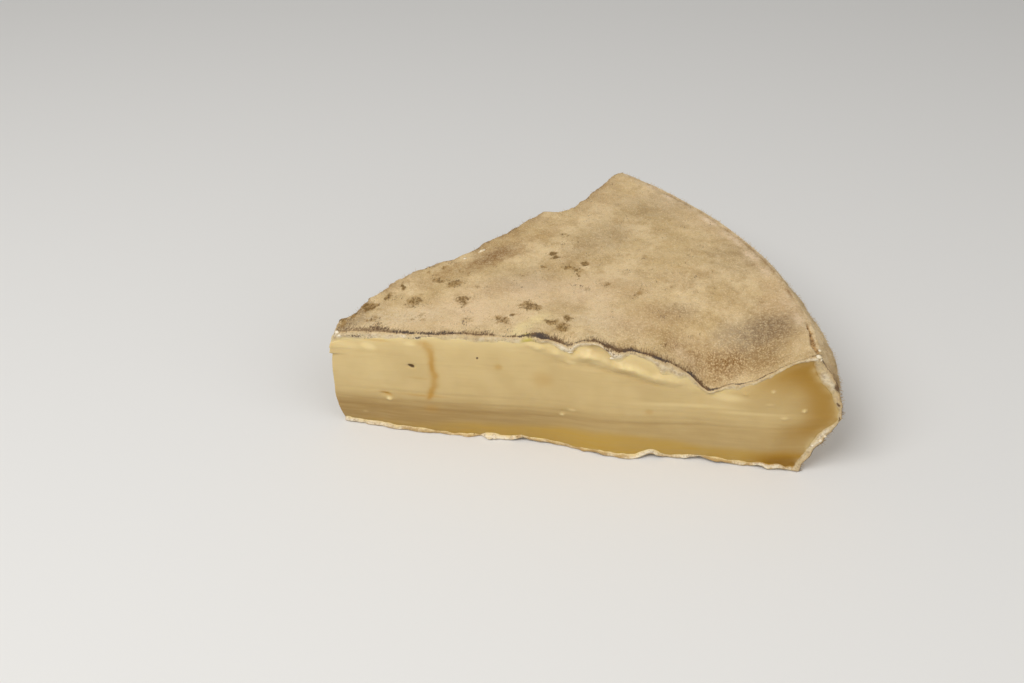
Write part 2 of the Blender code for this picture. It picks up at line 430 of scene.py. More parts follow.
def reported(piece):
    triangles = sum(len(polygon.vertices) - 2 for polygon in piece.data.polygons)
    print(f"{piece.name}: {triangles} triangles, {time.time() - startedAt:.0f} s")
    return piece


def makePiece(name, points, faces, masks, finish):
    # A mesh of the points that the faces use. A mask is one number or one vector for each point.
    used = np.unique(np.concatenate([np.asarray(face) for face in faces]))
    newNumber = np.zeros(len(points), np.int64)
    newNumber[used] = np.arange(len(used))
    mesh = bpy.data.meshes.new(name)
    mesh.from_pydata(place(points[used]).tolist(), [], [newNumber[face].tolist() for face in faces])
    for mask, values in masks.items():
        kind, field = ("FLOAT", "value") if np.ndim(values) == 1 else ("FLOAT_VECTOR", "vector")
        layer = mesh.attributes.new(mask, kind, "POINT")
        layer.data.foreach_set(field, np.asarray(values, np.float32)[used].ravel())
    mesh.shade_smooth()
    mesh.materials.append(finish)
    return reported(addObject(name, mesh))


def tone(colour):
    # From a 0 to 255 screen colour to the linear one that a shader takes.
    linear = [c / 255 / 12.92 if c <= 10 else ((c / 255 + 0.055) / 1.055) ** 2.4 for c in colour]
    return (*linear, 1.0)


class Tree:
    # A node tree, with short ways to add nodes to it.
    def __init__(self, tree):
        self.tree = tree

    def give(self, socket, value):
        if isinstance(value, bpy.types.NodeSocket):
            self.tree.links.new(value, socket)
        else:
            socket.default_value = value

    def node(self, kind, inputs=None, **settings):
        made = self.tree.nodes.new(kind)
        for key, value in settings.items():
            setattr(made, key, value)
        for key, value in (inputs or {}).items():
            self.give(made.inputs[key], value)
        return made

    def maths(self, operation, first, second):
        return self.node("ShaderNodeMath", {0: first, 1: second}, operation=operation).outputs[0]

    def times(self, first, *others):
        for other in others:
            first = self.maths("MULTIPLY", first, other)
        return first

    def plus(self, first, second):
        return self.maths("ADD", first, second)


class Finish(Tree):
    # A Principled material. Its colour is built up in layers, from the colours of a look.
    def __init__(self, name, look=None):
        self.material = bpy.data.materials.new(name)
        self.material.use_nodes = True
        super().__init__(self.material.node_tree)
        self.shader = self.tree.nodes["Principled BSDF"]
        self.places = self.node("ShaderNodeTexCoord").outputs["Object"]
        self.look = look
        self.colour = None

    def noise(self, size, detail=2.0, roughness=0.5, stretch=(1, 1, 1), source=None):
        # Noise whose lumps are about this size in mm.
        scale = [1 / (size * mm * s) for s in stretch]
        mapped = self.node("ShaderNodeMapping", {"Vector": source or self.places, "Scale": scale})
        inputs = {"Vector": mapped.outputs[0], "Scale": 1.0, "Detail": detail, "Roughness": roughness}
        return self.node("ShaderNodeTexNoise", inputs).outputs["Fac"]

    def swing(self, noise, size):
        # Noise about zero, of this size.
        return self.times(self.plus(noise, -0.5), size)

    def mask(self, name, output="Fac"):
        return self.node("ShaderNodeAttribute", attribute_name=name).outputs[output]

    def step(self, value, low, high, least=0.0, most=1.0):
        inputs = {"Value": value, "From Min": low, "From Max": high, "To Min": least, "To Max": most}
        return self.node("ShaderNodeMapRange", inputs, interpolation_type="SMOOTHSTEP").outputs[0]

    def mix(self, share, first, second):
        # A colour is a name in the look, or a socket.
        first, second = (tone(self.look[c]) if isinstance(c, str) else c for c in (first, second))
        return self.node("ShaderNodeMix", {0: share, 6: first, 7: second}, data_type="RGBA").outputs[2]

    def lay(self, colour, *shares):
        # Lays a colour over those so far. Each share is a mask's name, a number or a socket.
        shares = [self.mask(share) if isinstance(share, str) else share for share in shares]
        self.colour = self.mix(self.times(*shares), self.colour, colour)

    def bump(self, height, depth, normal=None):
        inputs = {"Height": height, "Distance": depth * mm, "Strength": 1.0}
        if normal is not None:
            inputs["Normal"] = normal
        return self.node("ShaderNodeBump", inputs).outputs[0]

    def set(self, **values):
        for key, value in values.items():
            self.give(self.shader.inputs[key.replace("_", " ")], value)


# The paste: pale ivory; duller below the knife's line, partly its own colour and partly painted shade; golden
# by the underside and amber by the wall.
pasteLook = {
    "cells": (420, 36, 96),
    "ivory": (203, 176, 121),
    "cream": (211, 185, 130),
    # also the colour of the painted highlights
    "pale": (231, 208, 152),
    "dull": (164, 132, 76),
    "golden": (192, 154, 64),
    "amber": (164, 119, 14),
    "cornerShade": (146, 104, 18),
    # painted shade in the foot corner by the wall
    "stain": (184, 135, 44),
    # painted shade inside two small holes
    "holeShade": (92, 66, 34),
    "streak": (176, 147, 92),
    "line": (146, 112, 60),
    "roughness": (0.34, 0.54),
    "throughDepth": 1.4,  # mm that light travels under the surface
}

# Where the paste's colours lie on the front cut, in mm.
pasteMarks = {
    # The dull band below the knife's line is partly painted shade.
    "dullLine": ((0, 12.4), (57, 15.4), (85, 16.3), (125, 16.6)),
    "dullDepth": 7,
    "dullShare": ((0, 1), (30, 0.9), (50, 0.72), (75, 0.5), (125, 0.42)),
    "wander": (9, 0.6, 21),  # how these lines wander: lump size, reach, seed
    "goldenSpan": (-1.4, 1.6),
    "goldenLine": ((0, 2.5), (20, 3.5), (37, 5.5), (52, 6.5), (70, 8), (90, 6.1), (125, 5)),
    "goldenShare": ((0, 0.15), (18, 0.35), (35, 0.85), (60, 1), (125, 0.9)),
    "lineShare": ((0, 0.3), (25, 0.6), (60, 0.45), (90, 0.25), (125, 0.15)),
    "wallAmber": (2.4, 4.2, 7.2),  # where the amber peaks, in from the wall's skin, and its reach each way
    "amberByWall": 0.8,
    "amberByFoot": (8, 15, 0.62),  # where it thins out below: height from, height to, loss
    "topAmber": (5, 0.95, 96, 113),  # the amber under the skin: depth, share, place from, place to
    "creaseShade": 0.38,  # share of the line's colour painted into the crease as shade
    "amberWander": (5, 0.8, 26),  # lump size, reach, seed
    "topPale": (0.45, 2.2, 86, 96),  # pale under the top skin: share, reach, where it ends from, to
    "edgePale": (0.15, 1),  # and close to it: share, reach
    "wallPale": (0.3, 0.7, 110),  # pale ragged border by the wall's skin: share, reach, place from
    # amber in the foot corner by the wall; its strength past 1 paints shade there
    "cornerAmberAndShade": (115, 1.6, 8.5, 4.4, 0, 1.35),
    "stain": (  # height, place
        (28.8, 23.2), (26.5, 23.9), (22.5, 24.7), (18.4, 25.1), (16, 25), (13.7, 24), (11.5, 23.3),
    ),
    "stainWidth": (1, 0.35, 24, 28),  # half-width, how much wider it gets, height from, height to
    "stainWander": (1.6, 0.3, 22),  # lump size, reach, seed
    "stainPatches": (2.2, 0.74, 0.4, 23),  # lump size, strength, swing, seed
    "smudges": (
        (41.5, 24, 1, 0.9, 0, 0.45), (52.5, 21.5, 2.6, 2.4, 0, 0.28), (79.5, 15.3, 1, 0.9, 0, 0.35),
        (12, 11.9, 1.5, 0.45, -12, 0.9), (22, 28.4, 2.2, 0.8, 0, 0.4), (21, 17.9, 3, 0.3, 0, 0.25),
        (24, 8.8, 2, 1.2, 0, 0.35), (10, 28, 4, 0.35, 0, 0.4), (24.1, 14.4, 0.8, 1.2, 0, 0.75),
        (22, 12.6, 6, 0.35, 2, 0.45),
    ),
    "backAmber": (0.5, 1.5, 3, 7),  # strength, where it peaks, its reach each way
    # pale spots of the back cut, two of them painted highlights on pimples
    "backPaleAndHighlights": (
        (24, 12.2, 0.8, 0.5, 0, 0.9), (88, 23.5, 0.6, 0.5, 0, 0.8), (52, 29.5, 9, 1, 2, 0.5),
        (16, 27, 5, 0.8, 2, 0.5),
    ),
    "backSmudges": ((40, 19, 1.2, 3.4, 8, 0.4), (67, 12, 3.5, 0.6, 0, 0.4), (30, 8.6, 4, 0.7, 0, 0.35)),
    # painted shade inside two small holes
    "holeShadeSpots": ((19.1, 21.5, 1.05, 0.5, -18, 1), (36.1, 25.9, 0.36, 0.36, 0, 1)),
    # pale spots, most of them painted highlights: glints on pimples and soft highlights on the wet paste
    "paleSpotsAndHighlights": (
        (6, 20, 9, 6, 0, 0.3), (8, 26.1, 2.4, 1.2, -8, 1), (19.2, 28.1, 2.2, 0.8, 5, 0.9),
        (2.5, 25.6, 5, 1.6, 0, 0.6), (12.9, 10.5, 0.75, 0.45, 0, 1), (59.5, 27.6, 1.6, 0.7, 0, 0.8),
        (66, 28.6, 2.2, 1, -15, 0.7), (50, 31.6, 3.5, 0.6, 0, 0.7), (5.9, 4.8, 0.7, 0.3, 0, 0.25),
        (57.8, 11.4, 0.6, 0.4, 0, 0.8), (60.3, 13.3, 1, 0.35, 0, 0.5), (98, 21.9, 3.6, 1.1, 0, 0.75),
        (116.4, 20, 0.5, 0.5, 0, 0.9), (112, 17.5, 0.9, 0.35, 0, 0.5), (108, 21.3, 1, 0.3, 0, 0.3),
        (108.3, 25.3, 0.5, 0.45, 0, 0.6), (88, 18.3, 12, 0.6, 3, 0.45), (104, 17.9, 9, 0.5, 3, 0.4),
        (93.2, 22.6, 0.7, 0.5, 0, 0.7),
    ),
}


def ellipse(x, y, placeX, placeY, halfX, halfY, turn=0.0):
    # 1 at the middle, falling off past the half-widths.
    c, s = math.cos(math.radians(turn)), math.sin(math.radians(turn))
    dx, dy = x - placeX, y - placeY
    return np.exp(-((((dx * c + dy * s) / halfX) ** 2 + ((dy * c - dx * s) / halfY) ** 2) ** 1.5))


def spots(x, y, marks):
    total = 0 * x
    for placeX, placeY, halfX, halfY, turn, strength in marks:
        total = np.maximum(total, strength * ellipse(x, y, placeX, placeY, halfX, halfY, turn))
    return total


def frontTopGap(x, z):
    # How far below the skin a point of the front cut lies.
    u = clamp(x / body["rimFront"][0])
    return np.maximum(topHeight(x, 0 * x) - topSkinAt(u) - z, 0)


def wallGap(run, z, side):
    # How far from the wall's skin a point of the front cut (side 0) or the back cut (side 1) lies.
    direction = backLine()[0] if side else (1.0, 0.0)
    wall = wedgePoint(np.ones_like(run), side + 0 * run, clamp(z / body["rimHeight"]))
    wallRun = wall[:, 0] * direction[0] + wall[:, 1] * direction[1]
    return np.maximum(wallRun - wallSkinAt(side + 0 * run, z) - run, 0)


def amberAt(x, z):
    peak, before, after = pasteMarks["wallAmber"]
    size, reach, seed = pasteMarks["amberWander"]
    wander = reach * noiseAt(layFlat(x, z), size, seed)
    low, high, loss = pasteMarks["amberByFoot"]
    byFoot = 1 - loss * (1 - smooth(z, low, high))
    byWall = pasteMarks["amberByWall"] * byFoot * hump(wallGap(x, z, 0) - peak + wander, before, after)
    depth, share, first, last = pasteMarks["topAmber"]
    byTop = share * smooth(x, first, last) * np.exp(-frontTopGap(x, z) / depth)
    # amber by the wall's foot corner; past 1 it becomes painted shade
    byCorner = spots(x, z, (pasteMarks["cornerAmberAndShade"],))
    return 1 - (1 - byWall) * (1 - byTop) * (1 - byCorner)


def stainAt(points):
    # The brown streak that runs down the front cut.
    x, z = points[:, 0], points[:, 2]
    heights, places = zip(*pasteMarks["stain"][::-1])
    size, reach, seed = pasteMarks["stainWander"]
    middle = np.interp(z, heights, places) + reach * noiseAt(points, size, seed)
    low, high = heights[0], heights[-1]
    ends = smooth(z, low - 1.0, low + 1.0) * (1 - smooth(z, high - 0.5, high + 0.8))
    width, wider, first, last = pasteMarks["stainWidth"]
    width = width * (1 + wider * smooth(z, first, last))
    size, strength, swing, seed = pasteMarks["stainPatches"]
    return ends * hump(x - middle, width) * (strength + swing * noiseAt(points, size, seed))


def paleAt(points):
    # Paler paste under the skin and the pale spots of the front cut, with painted highlights along the
    # pressed ridge and on most of the spots.
    x, z = points[:, 0], points[:, 2]
    # the ridge's crest is painted lighter, a painted highlight
    size = clamp(along(cutMarks["ridgeSize"], x) * (1 + 0.5 * noiseAt(points, 2.6, 24)))
    ridge = size * hump(z - along(cutMarks["ridge"], x) - 0.2, 1.3, 1.0)
    gap = frontTopGap(x, z)
    share, reach, first, last = pasteMarks["topPale"]
    underSkin = fading(gap, share, reach) * (1 - smooth(x, first, last))
    underSkin = underSkin + fading(gap, *pasteMarks["edgePale"])
    share, reach, first = pasteMarks["wallPale"]
    byWall = fading(wallGap(x, z, 0), share, reach) * smooth(noiseAt(points, 1.7, 25), -0.5, 0.3)
    underSkin = np.maximum(underSkin, np.where(x > first, byWall, 0))
    return np.maximum(np.maximum(ridge, underSkin), spots(x, z, pasteMarks["paleSpotsAndHighlights"]))


def pasteMasks(points, run, onFront):
    marks = pasteMarks
    x, z = points[:, 0], points[:, 2]
    place = np.where(onFront, x, run)
    size, reach, seed = marks["wander"]
    wander = reach * noiseAt(points, size, seed)
    dull = smooth(along(marks["dullLine"], place) + wander * 0.5 + 1.0 - z, 0, marks["dullDepth"])
    golden = smooth(along(marks["goldenLine"], place) + wander - z, *marks["goldenSpan"])
    line = sum(hump(z - lineHeight(mark, place), mark[3]) * mark[5] for mark in cutMarks["lines"])
    # painted shade in the crease under the pressed ridge
    crease = hump(z + 0.35 - along(cutMarks["crease"], x), 0.4)
    crease = clamp(along(cutMarks["creaseSize"], x) * 3) * crease
    strength, peak, before, after = marks["backAmber"]
    byBackWall = strength * hump(wallGap(run, z, 1) - peak + wander, before, after)
    stain = np.maximum(stainAt(points), spots(x, z, marks["smudges"]))
    front = onFront.astype(float)
    return {
        "dull": dull * along(marks["dullShare"], place),
        "golden": golden * along(marks["goldenShare"], place),
        "amber": np.where(onFront, amberAt(x, z), byBackWall),
        "pale": np.where(onFront, paleAt(points), spots(run, z, marks["backPaleAndHighlights"])),
        "stain": np.where(onFront, stain, spots(run, z, marks["backSmudges"])),
        "holeShade": front * spots(x, z, marks["holeShadeSpots"]),
        "line": np.maximum(line * along(marks["lineShare"], place), front * marks["creaseShade"] * crease),
    }


def pasteFinish():
    f = Finish("paste", pasteLook)
    stroke = f.mask("stroke", "Vector")
    longStreak = f.noise(1.0, 3.0, 0.55, (14.0, 1.1, 4.0), stroke)
    fineStreak = f.noise(1.0, 3.0, 0.6, (9.0, 0.30, 2.0), stroke)
    f.colour = f.mix(f.step(f.noise(9.0, 2.0), 0.3, 0.7), "ivory", "cream")
    f.lay("streak", f.step(longStreak, 0.50, 0.72), 0.12)
    # the duller lower band: partly the paste's colour, partly painted shade
    f.lay("dull", "dull", f.step(longStreak, 0.30, 0.62, 0.80, 1.0))
    f.lay("golden", "golden", f.step(longStreak, 0.25, 0.7, 1.0, 0.7))
    f.lay("streak", f.step(fineStreak, 0.52, 0.75), f.step(f.mask("dull"), 0.0, 0.6, 0.08, 0.26))
    f.lay("line", "line", f.step(longStreak, 0.3, 0.6, 0.35, 0.75))
    f.lay("amber", "amber")
    # painted shade in the foot corner, where the amber mask passes 1
    f.lay("cornerShade", f.step(f.mask("amber"), 0.85, 1.30))
    # paler paste by the skin, with painted highlights on the ridge, the pimples and the wet paste
    f.lay("pale", "pale")
    f.lay("stain", "stain", 0.92)
    # painted shade inside two small holes
    f.lay("holeShade", f.step(f.mask("holeShade"), 0.30, 0.75))
    glossy, dull = pasteLook["roughness"]
    f.set(
        Base_Color=f.colour,
        Roughness=f.step(f.noise(3.0, 3.0, 0.6), 0.3, 0.7, glossy, dull),
        Normal=f.bump(fineStreak, 0.03, f.bump(f.noise(0.35, 3.0, 0.6), 0.015)),
        Subsurface_Weight=0.35,
        Subsurface_Radius=(0.8, 0.6, 0.28),
        Subsurface_Scale=pasteLook["throughDepth"] * mm,
        Specular_IOR_Level=0.33,
    )
    return f.material


def makePaste():
    alongCells, acrossCells, upCells = cells = pasteLook["cells"]
    i, j, k = (np.arange(count + 1) for count in cells)
    everywhere = [a.ravel() for a in np.meshgrid(i, j, k, indexing="ij")]
    shown = np.any([(a == 0) | (a == last) for a, last in zip(everywhere, cells)], axis=0)
    order = np.cumsum(shown) - 1
    allI, allJ, allK = (a[shown] for a in everywhere)

    def numbers(i, j, k):
        return order[(i * (acrossCells + 1) + j) * (upCells + 1) + k]

    flat, (sideI, sideK), end = (np.meshgrid(*pair, indexing="ij") for pair in ((i, j), (i, k), (j, k)))
    faces = gridFaces(numbers(sideI, 0, sideK))  # front cut
    faces += gridFaces(numbers(sideI, acrossCells, sideK).T, 2)  # back cut
    faces += gridFaces(numbers(0, *end).T)  # tip
    faces += gridFaces(numbers(alongCells, *end), 4)  # under the wall's skin
    faces += gridFaces(numbers(*flat, upCells), 4)  # under the top skin
    faces += gridFaces(numbers(*flat, 0).T, 4)  # over the underside's skin
    u, v, w = allI / alongCells, crowd(allJ / acrossCells), allK / upCells
    height = w * topHeight(*planPoint(u, v))
    onFront, onBack, onTip = v == 0, v == 1, u == 0
    less = np.where(onFront | onBack | onTip, -skin["overlap"], skin["sunk"] - skin["overlap"])
    footSkin = np.maximum(footSkinAt(u, v) + less, skin["leastFoot"])
    points = wedgePoint(u, v, w, topSkinAt(u) + less, wallSkinAt(v, height) + less, footSkin)
    points, run = pushCut(points, onFront, onBack, onTip)
    masks = pasteMasks(points, run, onFront | onTip)
    masks["stroke"] = streakSpot(run, points[:, 2], np.where(onBack, backSeed, 0.0)) * mm
    return makePiece("paste", points, faces, masks, pasteFinish())


# The skin: a thin felted mould rind over the top, down the wall and under the wedge.
rindLook = {
    "rows": (280, 70, 250),  # over the top, down the wall, back under
    "columns": 180,
    "stripRows": 9,
    "base": (202, 173, 122),
    "light": (222, 195, 148),
    "pinkish": (226, 197, 156),
    "olive": (172, 140, 90),
    "powder": (238, 214, 172),
    "fleck": (146, 112, 68),
    "bloom": (219, 196, 157),
    "chalk": (240, 213, 178),
    "golden": (126, 88, 40),
    "goldenLight": (166, 128, 74),
    "shade": (114, 90, 64),
    "brown": (140, 102, 56),
    "ochre": (154, 112, 54),
    "rust": (194, 154, 98),
    "bare": (230, 206, 150),
    "yellow": (206, 190, 76),
    "mould": (100, 72, 22),
    "halo": (150, 113, 52),
    "line": (70, 58, 52),
    "hatch": (112, 82, 50),
    "lineBrown": (100, 72, 44),
    "cutWhite": (236, 222, 194),
    # darker golden of the underside's lip, partly painted shade by the floor
    "cutCream": (208, 184, 138),
    "lip": (178, 144, 90),
    "cutGrey": (174, 150, 120),
    "cutRipe": (176, 134, 54),
    "roughness": 0.88,
}

# Relief of the skin, in mm: lump size, height, seed.
rindRelief = {
    "top": ((16, 0.42, 31), (6, 0.2, 32), (2.4, 0.11, 33), (1.1, 0.07, 34)),
    "wall": ((11, 0.5, 35), (4, 0.36, 36), (1.7, 0.28, 37), (0.9, 0.14, 38)),
    "creases": (  # place, half-length, half-width, turn, depth
        (88.5, 24.9, 2.2, 0.3, -12, 0.34), (92.2, 24.5, 1.4, 0.26, -20, 0.26),
        (84, 21.8, 2.6, 0.32, 8, 0.3), (86.7, 19.6, 2.2, 0.3, 14, 0.24), (104, 36, 1.5, 0.3, -40, 0.28),
        (78, 27, 2.4, 0.35, 5, 0.18), (96, 17, 3, 0.4, 25, 0.18), (60, 40, 3, 0.35, 60, 0.14),
        (41, 22, 2.4, 0.35, 40, 0.14), (66, 58, 3.2, 0.35, 70, 0.16),
    ),
    "warp": (2.6, 0.7, 52),  # how the marks' outlines wander: lump size, reach, seed
    "rimRound": (0.5, 1.2, 0.5, 5),  # where the top rolls over the rim: drop, reach, off the cut from, to
    "groove": (  # the slit along the rim's front corner: distance from the cut, gap from the rim, half-width
        (0, 0.2, 0.3), (1.6, 0.35, 0.45), (4, 0.6, 0.65), (6.5, 0.6, 0.6), (9.5, 0.4, 0.35),
        (13.5, 0.3, 0.18),
    ),
    "grooveDepth": 0.9,
    "grooveStart": (-0.5, 1.5),  # off the cut from, to
    "grooveEnd": (2, 0.5),  # how softly it ends: before its last place, past it
    "grooveWander": ((2.2, 0.22, 51), (0.8, 0.16, 52)),
    "wallStretch": (1, 1, 1.6),  # the wall's lumps are flatter than wide
}

# Ragged cut edges, in mm.
edges = {
    "topWaves": (
        (4, 0.35, 4), (52.5, 0.4, 3), (58.6, 0.25, 1.4), (64.6, 0.75, 3.2), (67.6, 0.6, 1), (71, 0.5, 1.8),
        (73.6, -0.3, 1.2), (82, 0.4, 4), (93.5, 0.4, 3), (106, 0.2, 6),
    ),
    "footWaves": (
        (3, 0.15, 6), (14, 0.3, 5), (33.5, 0.2, 2.2), (36.3, -0.9, 1), (39.5, 0.7, 2.2), (44, 0.3, 2),
        (66, -0.4, 2), (75, 0.6, 3), (86, -0.5, 2), (90, 0.3, 2), (97, 0.4, 3), (111, 0.3, 3),
    ),
    "ragged": ((3.2, 0.28, 41), (1.3, 0.18, 42), (0.6, 0.1, 43)),
    "backRagged": 1.8,  # times as ragged by the back cut
    "backWaves": (
        (1.2, -0.9, 2.2), (31, 0.9, 1.6), (44.5, 1.3, 1.3), (47.6, -0.7, 1.3), (52, 0.6, 2), (58, -0.5, 2),
        (60, -0.4, 2),
    ),
    "proudShare": 0.6,  # share of the next three that the skin's outer side takes
    "proud": 0.1,  # how far the skin's cut edge stands out of the paste
    "lipProud": 0.42,  # and the underside's
    "tipProud": 0.05,
    "deeper": 0.35,  # how much further its inner border reaches
    "sunk": 0.2,  # and how far that lies behind the paste
    "bulge": (0.3, 0.55),  # share of the way in where it stands out most, and where it falls back from there
    "fade": 1.1,
    "rough": ((2.4, 0.2, 47), (0.9, 0.09, 48)),
    "lumps": (  # lumps of the skin where the cut shows it: place, size, half-width
        (2, 0.3, 1.6), (38.5, 0.35, 2), (50, 0.3, 3), (59, 0.75, 1.4), (64.5, 0.35, 2.4), (69.4, 0.95, 1.4),
        (77.5, 0.35, 1.6), (81.5, 0.45, 1.4), (85.5, 0.3, 1.4), (93.5, 0.25, 2.2), (117, 0.35, 1.4),
    ),
    "thicknessWave": ((2.6, 0.42, 44), (1.1, 0.22, 45)),
    "thinnest": 0.2,
}

# Marks on the top, in mm: place, half-widths, turn, strength.
topMarks = {
    "mould": (
        (29.6, 14.1, 2.3, 2.4, 0, 1), (17, 13, 2.4, 3.3, 0, 0.85), (5.9, 9.4, 2.7, 1.7, 50, 1.05),
        (9.6, 14.4, 1.2, 2.2, 0, 1), (12.3, 19, 0.7, 1.6, 0, 1.4), (25.8, 21.3, 2.5, 2, 20, 0.9),
        (21.9, 22.6, 2.7, 1.4, 0, 0.8), (26.5, 27, 1.2, 0.9, 0, 0.7), (29.2, 26, 1.1, 1, 0, 0.65),
        (32, 20, 1.2, 1.1, 0, 0.6), (49.6, 38.2, 1.2, 0.9, 15, 1.6), (50.2, 36.2, 1.2, 0.9, 12, 1.6),
        (58.6, 34.3, 1.2, 1.6, 0, 1), (54, 32, 1.7, 1.5, 0, 0.9), (56.8, 31, 2.2, 1.5, 0, 0.75),
        (57.4, 28.7, 0.6, 0.8, 0, 1.3), (47.6, 31.9, 0.9, 0.7, 0, 0.95), (51.1, 47.4, 1.5, 0.9, 0, 0.8),
        (55.1, 44, 0.5, 1.6, 0, 0.75), (47, 13, 3, 2.3, 0, 1.05), (57.2, 8.8, 1.1, 1.4, 0, 1.2),
        (53.2, 6.4, 1.6, 1.6, 0, 1.15), (56.6, 5, 2, 2, 0, 0.95), (43.3, 9.3, 0.9, 1, 0, 0.9),
        (41.2, 6.6, 2.2, 2.1, 0, 0.9), (73.5, 38, 1.4, 1.3, 30, 0.6), (65.3, 25.4, 1.7, 1.4, 10, 0.62),
        (60.4, 22.6, 1.9, 1.1, 0, 0.55), (73.6, 20.8, 2.7, 1.6, 20, 0.72), (2.2, 6.2, 1.2, 2.8, 0, 0.85),
        (0.8, 3, 1.3, 2, 0, 0.8), (32, 5.5, 2, 1.7, 0, 0.5), (20, 6.5, 2.3, 2.1, 0, 0.5),
        (8, 4.5, 2.7, 1.8, 0, 0.6), (92, 33.5, 0.6, 0.9, 0, 0.7), (104.5, 22.5, 0.7, 0.8, 0, 0.7),
        (17.5, 25.5, 0.8, 0.8, 20, 0.9), (21, 28.2, 1.2, 0.8, 30, 0.8),
    ),
    "bloom": (
        (14, 6.5, 12, 4, 10, 0.8), (98, 9, 7, 4.5, 20, 0.6), (64, 9, 8, 4, 0, 0.5), (88, 6, 5, 3, 10, 0.5),
        (8, 8, 5, 3, 50, 0.4),
    ),
    "chalk": (
        (90.3, 59.5, 3.2, 1.4, -48, 1.1), (97.2, 50, 5, 1.7, -55, 0.75), (101.5, 42.5, 3.4, 1.8, -60, 0.8),
        (105, 35.5, 3, 1.3, -65, 0.6), (72.8, 78, 3.4, 1.5, -34, 0.8), (79, 71.5, 1.6, 1.2, -40, 0.8),
        (110.6, 23, 4, 1.5, -72, 0.3), (113.2, 15, 3.4, 1.4, -76, 0.55), (66, 82.5, 3, 1.4, -30, 0.5),
        (86, 4, 3, 1.2, -20, 0.3),
    ),
    "pinkish": (
        (52, 20, 22, 8, 8, 0.9), (30, 9, 18, 6.5, 8, 0.9), (70, 12, 12, 6, 0, 0.5),
        (86, 66, 20, 8, -45, 0.5), (110, 20, 5, 14, 10, 0.7), (60, 70, 10, 8, 30, 0.3),
    ),
    "golden": (
        (97, 4.4, 6, 3.6, 0, 1), (104, 5.5, 5, 3.4, 0, 0.5), (84, 14.6, 5, 2.6, 10, 0.4),
        (72, 6.5, 5.5, 3.5, 0, 0.35), (82, 5, 5, 3, 0, 0.35), (57, 14.5, 5, 3, 0, 0.2),
        (90, 4, 3.5, 3, 0, 0.6), (105.5, 3, 5, 2.6, 0, 0.65),
    ),
    "shade": (
        (104.5, 11.5, 9.5, 5.6, 15, 0.85), (106, 6.5, 4, 3, 0, 0.5), (97, 11, 4.5, 4, 0, 0.5),
        (33, 34.8, 9, 3, 52, 0.35), (61, 47, 12, 7, 50, 0.3), (100, 40, 10, 8, 0, 0.3),
        (85, 16, 5, 2.4, 0, 0.3), (44, 25, 9, 5, 20, 0.25), (4, 8, 3.5, 2.5, 50, 0.6),
        (76, 66, 12, 8, 20, 0.3), (3, 3, 4, 3, 50, 0.5),
    ),
    "ochre": (
        (79, 12, 9, 6, 15, 0.35), (87.5, 5.5, 6, 4.5, 0, 0.55), (30.9, 15.9, 4, 3, 0, 0.3),
        (108, 17, 6, 9, 0, 0.5), (101, 45, 5, 22, 35, 0.35), (37, 19.5, 6, 4, 0, 0.3),
        (33, 34.8, 9, 3.6, 52, 1), (38, 38, 5, 3, 50, 0.7), (45, 47, 9, 2.6, 50, 0.4),
        (22, 26, 9, 2.4, 52, 0.5), (110, 24, 3, 12, 15, 0.35), (84, 30, 7, 4, 20, 0.25),
        (70, 24, 8, 4, 0, 0.25), (55, 36, 8, 5, 40, 0.22), (97, 22, 6, 4, 30, 0.25),
    ),
    "bare": ((47, 3.6, 3.8, 2.4, 52, 1.3), (46.2, 1.2, 2.4, 1.8, 0, 1.3), (50, 7.6, 3.6, 2, 45, 1.1)),
    "yellow": ((48.4, -0.2, 1, 0.5, 0, 0.7),),
}

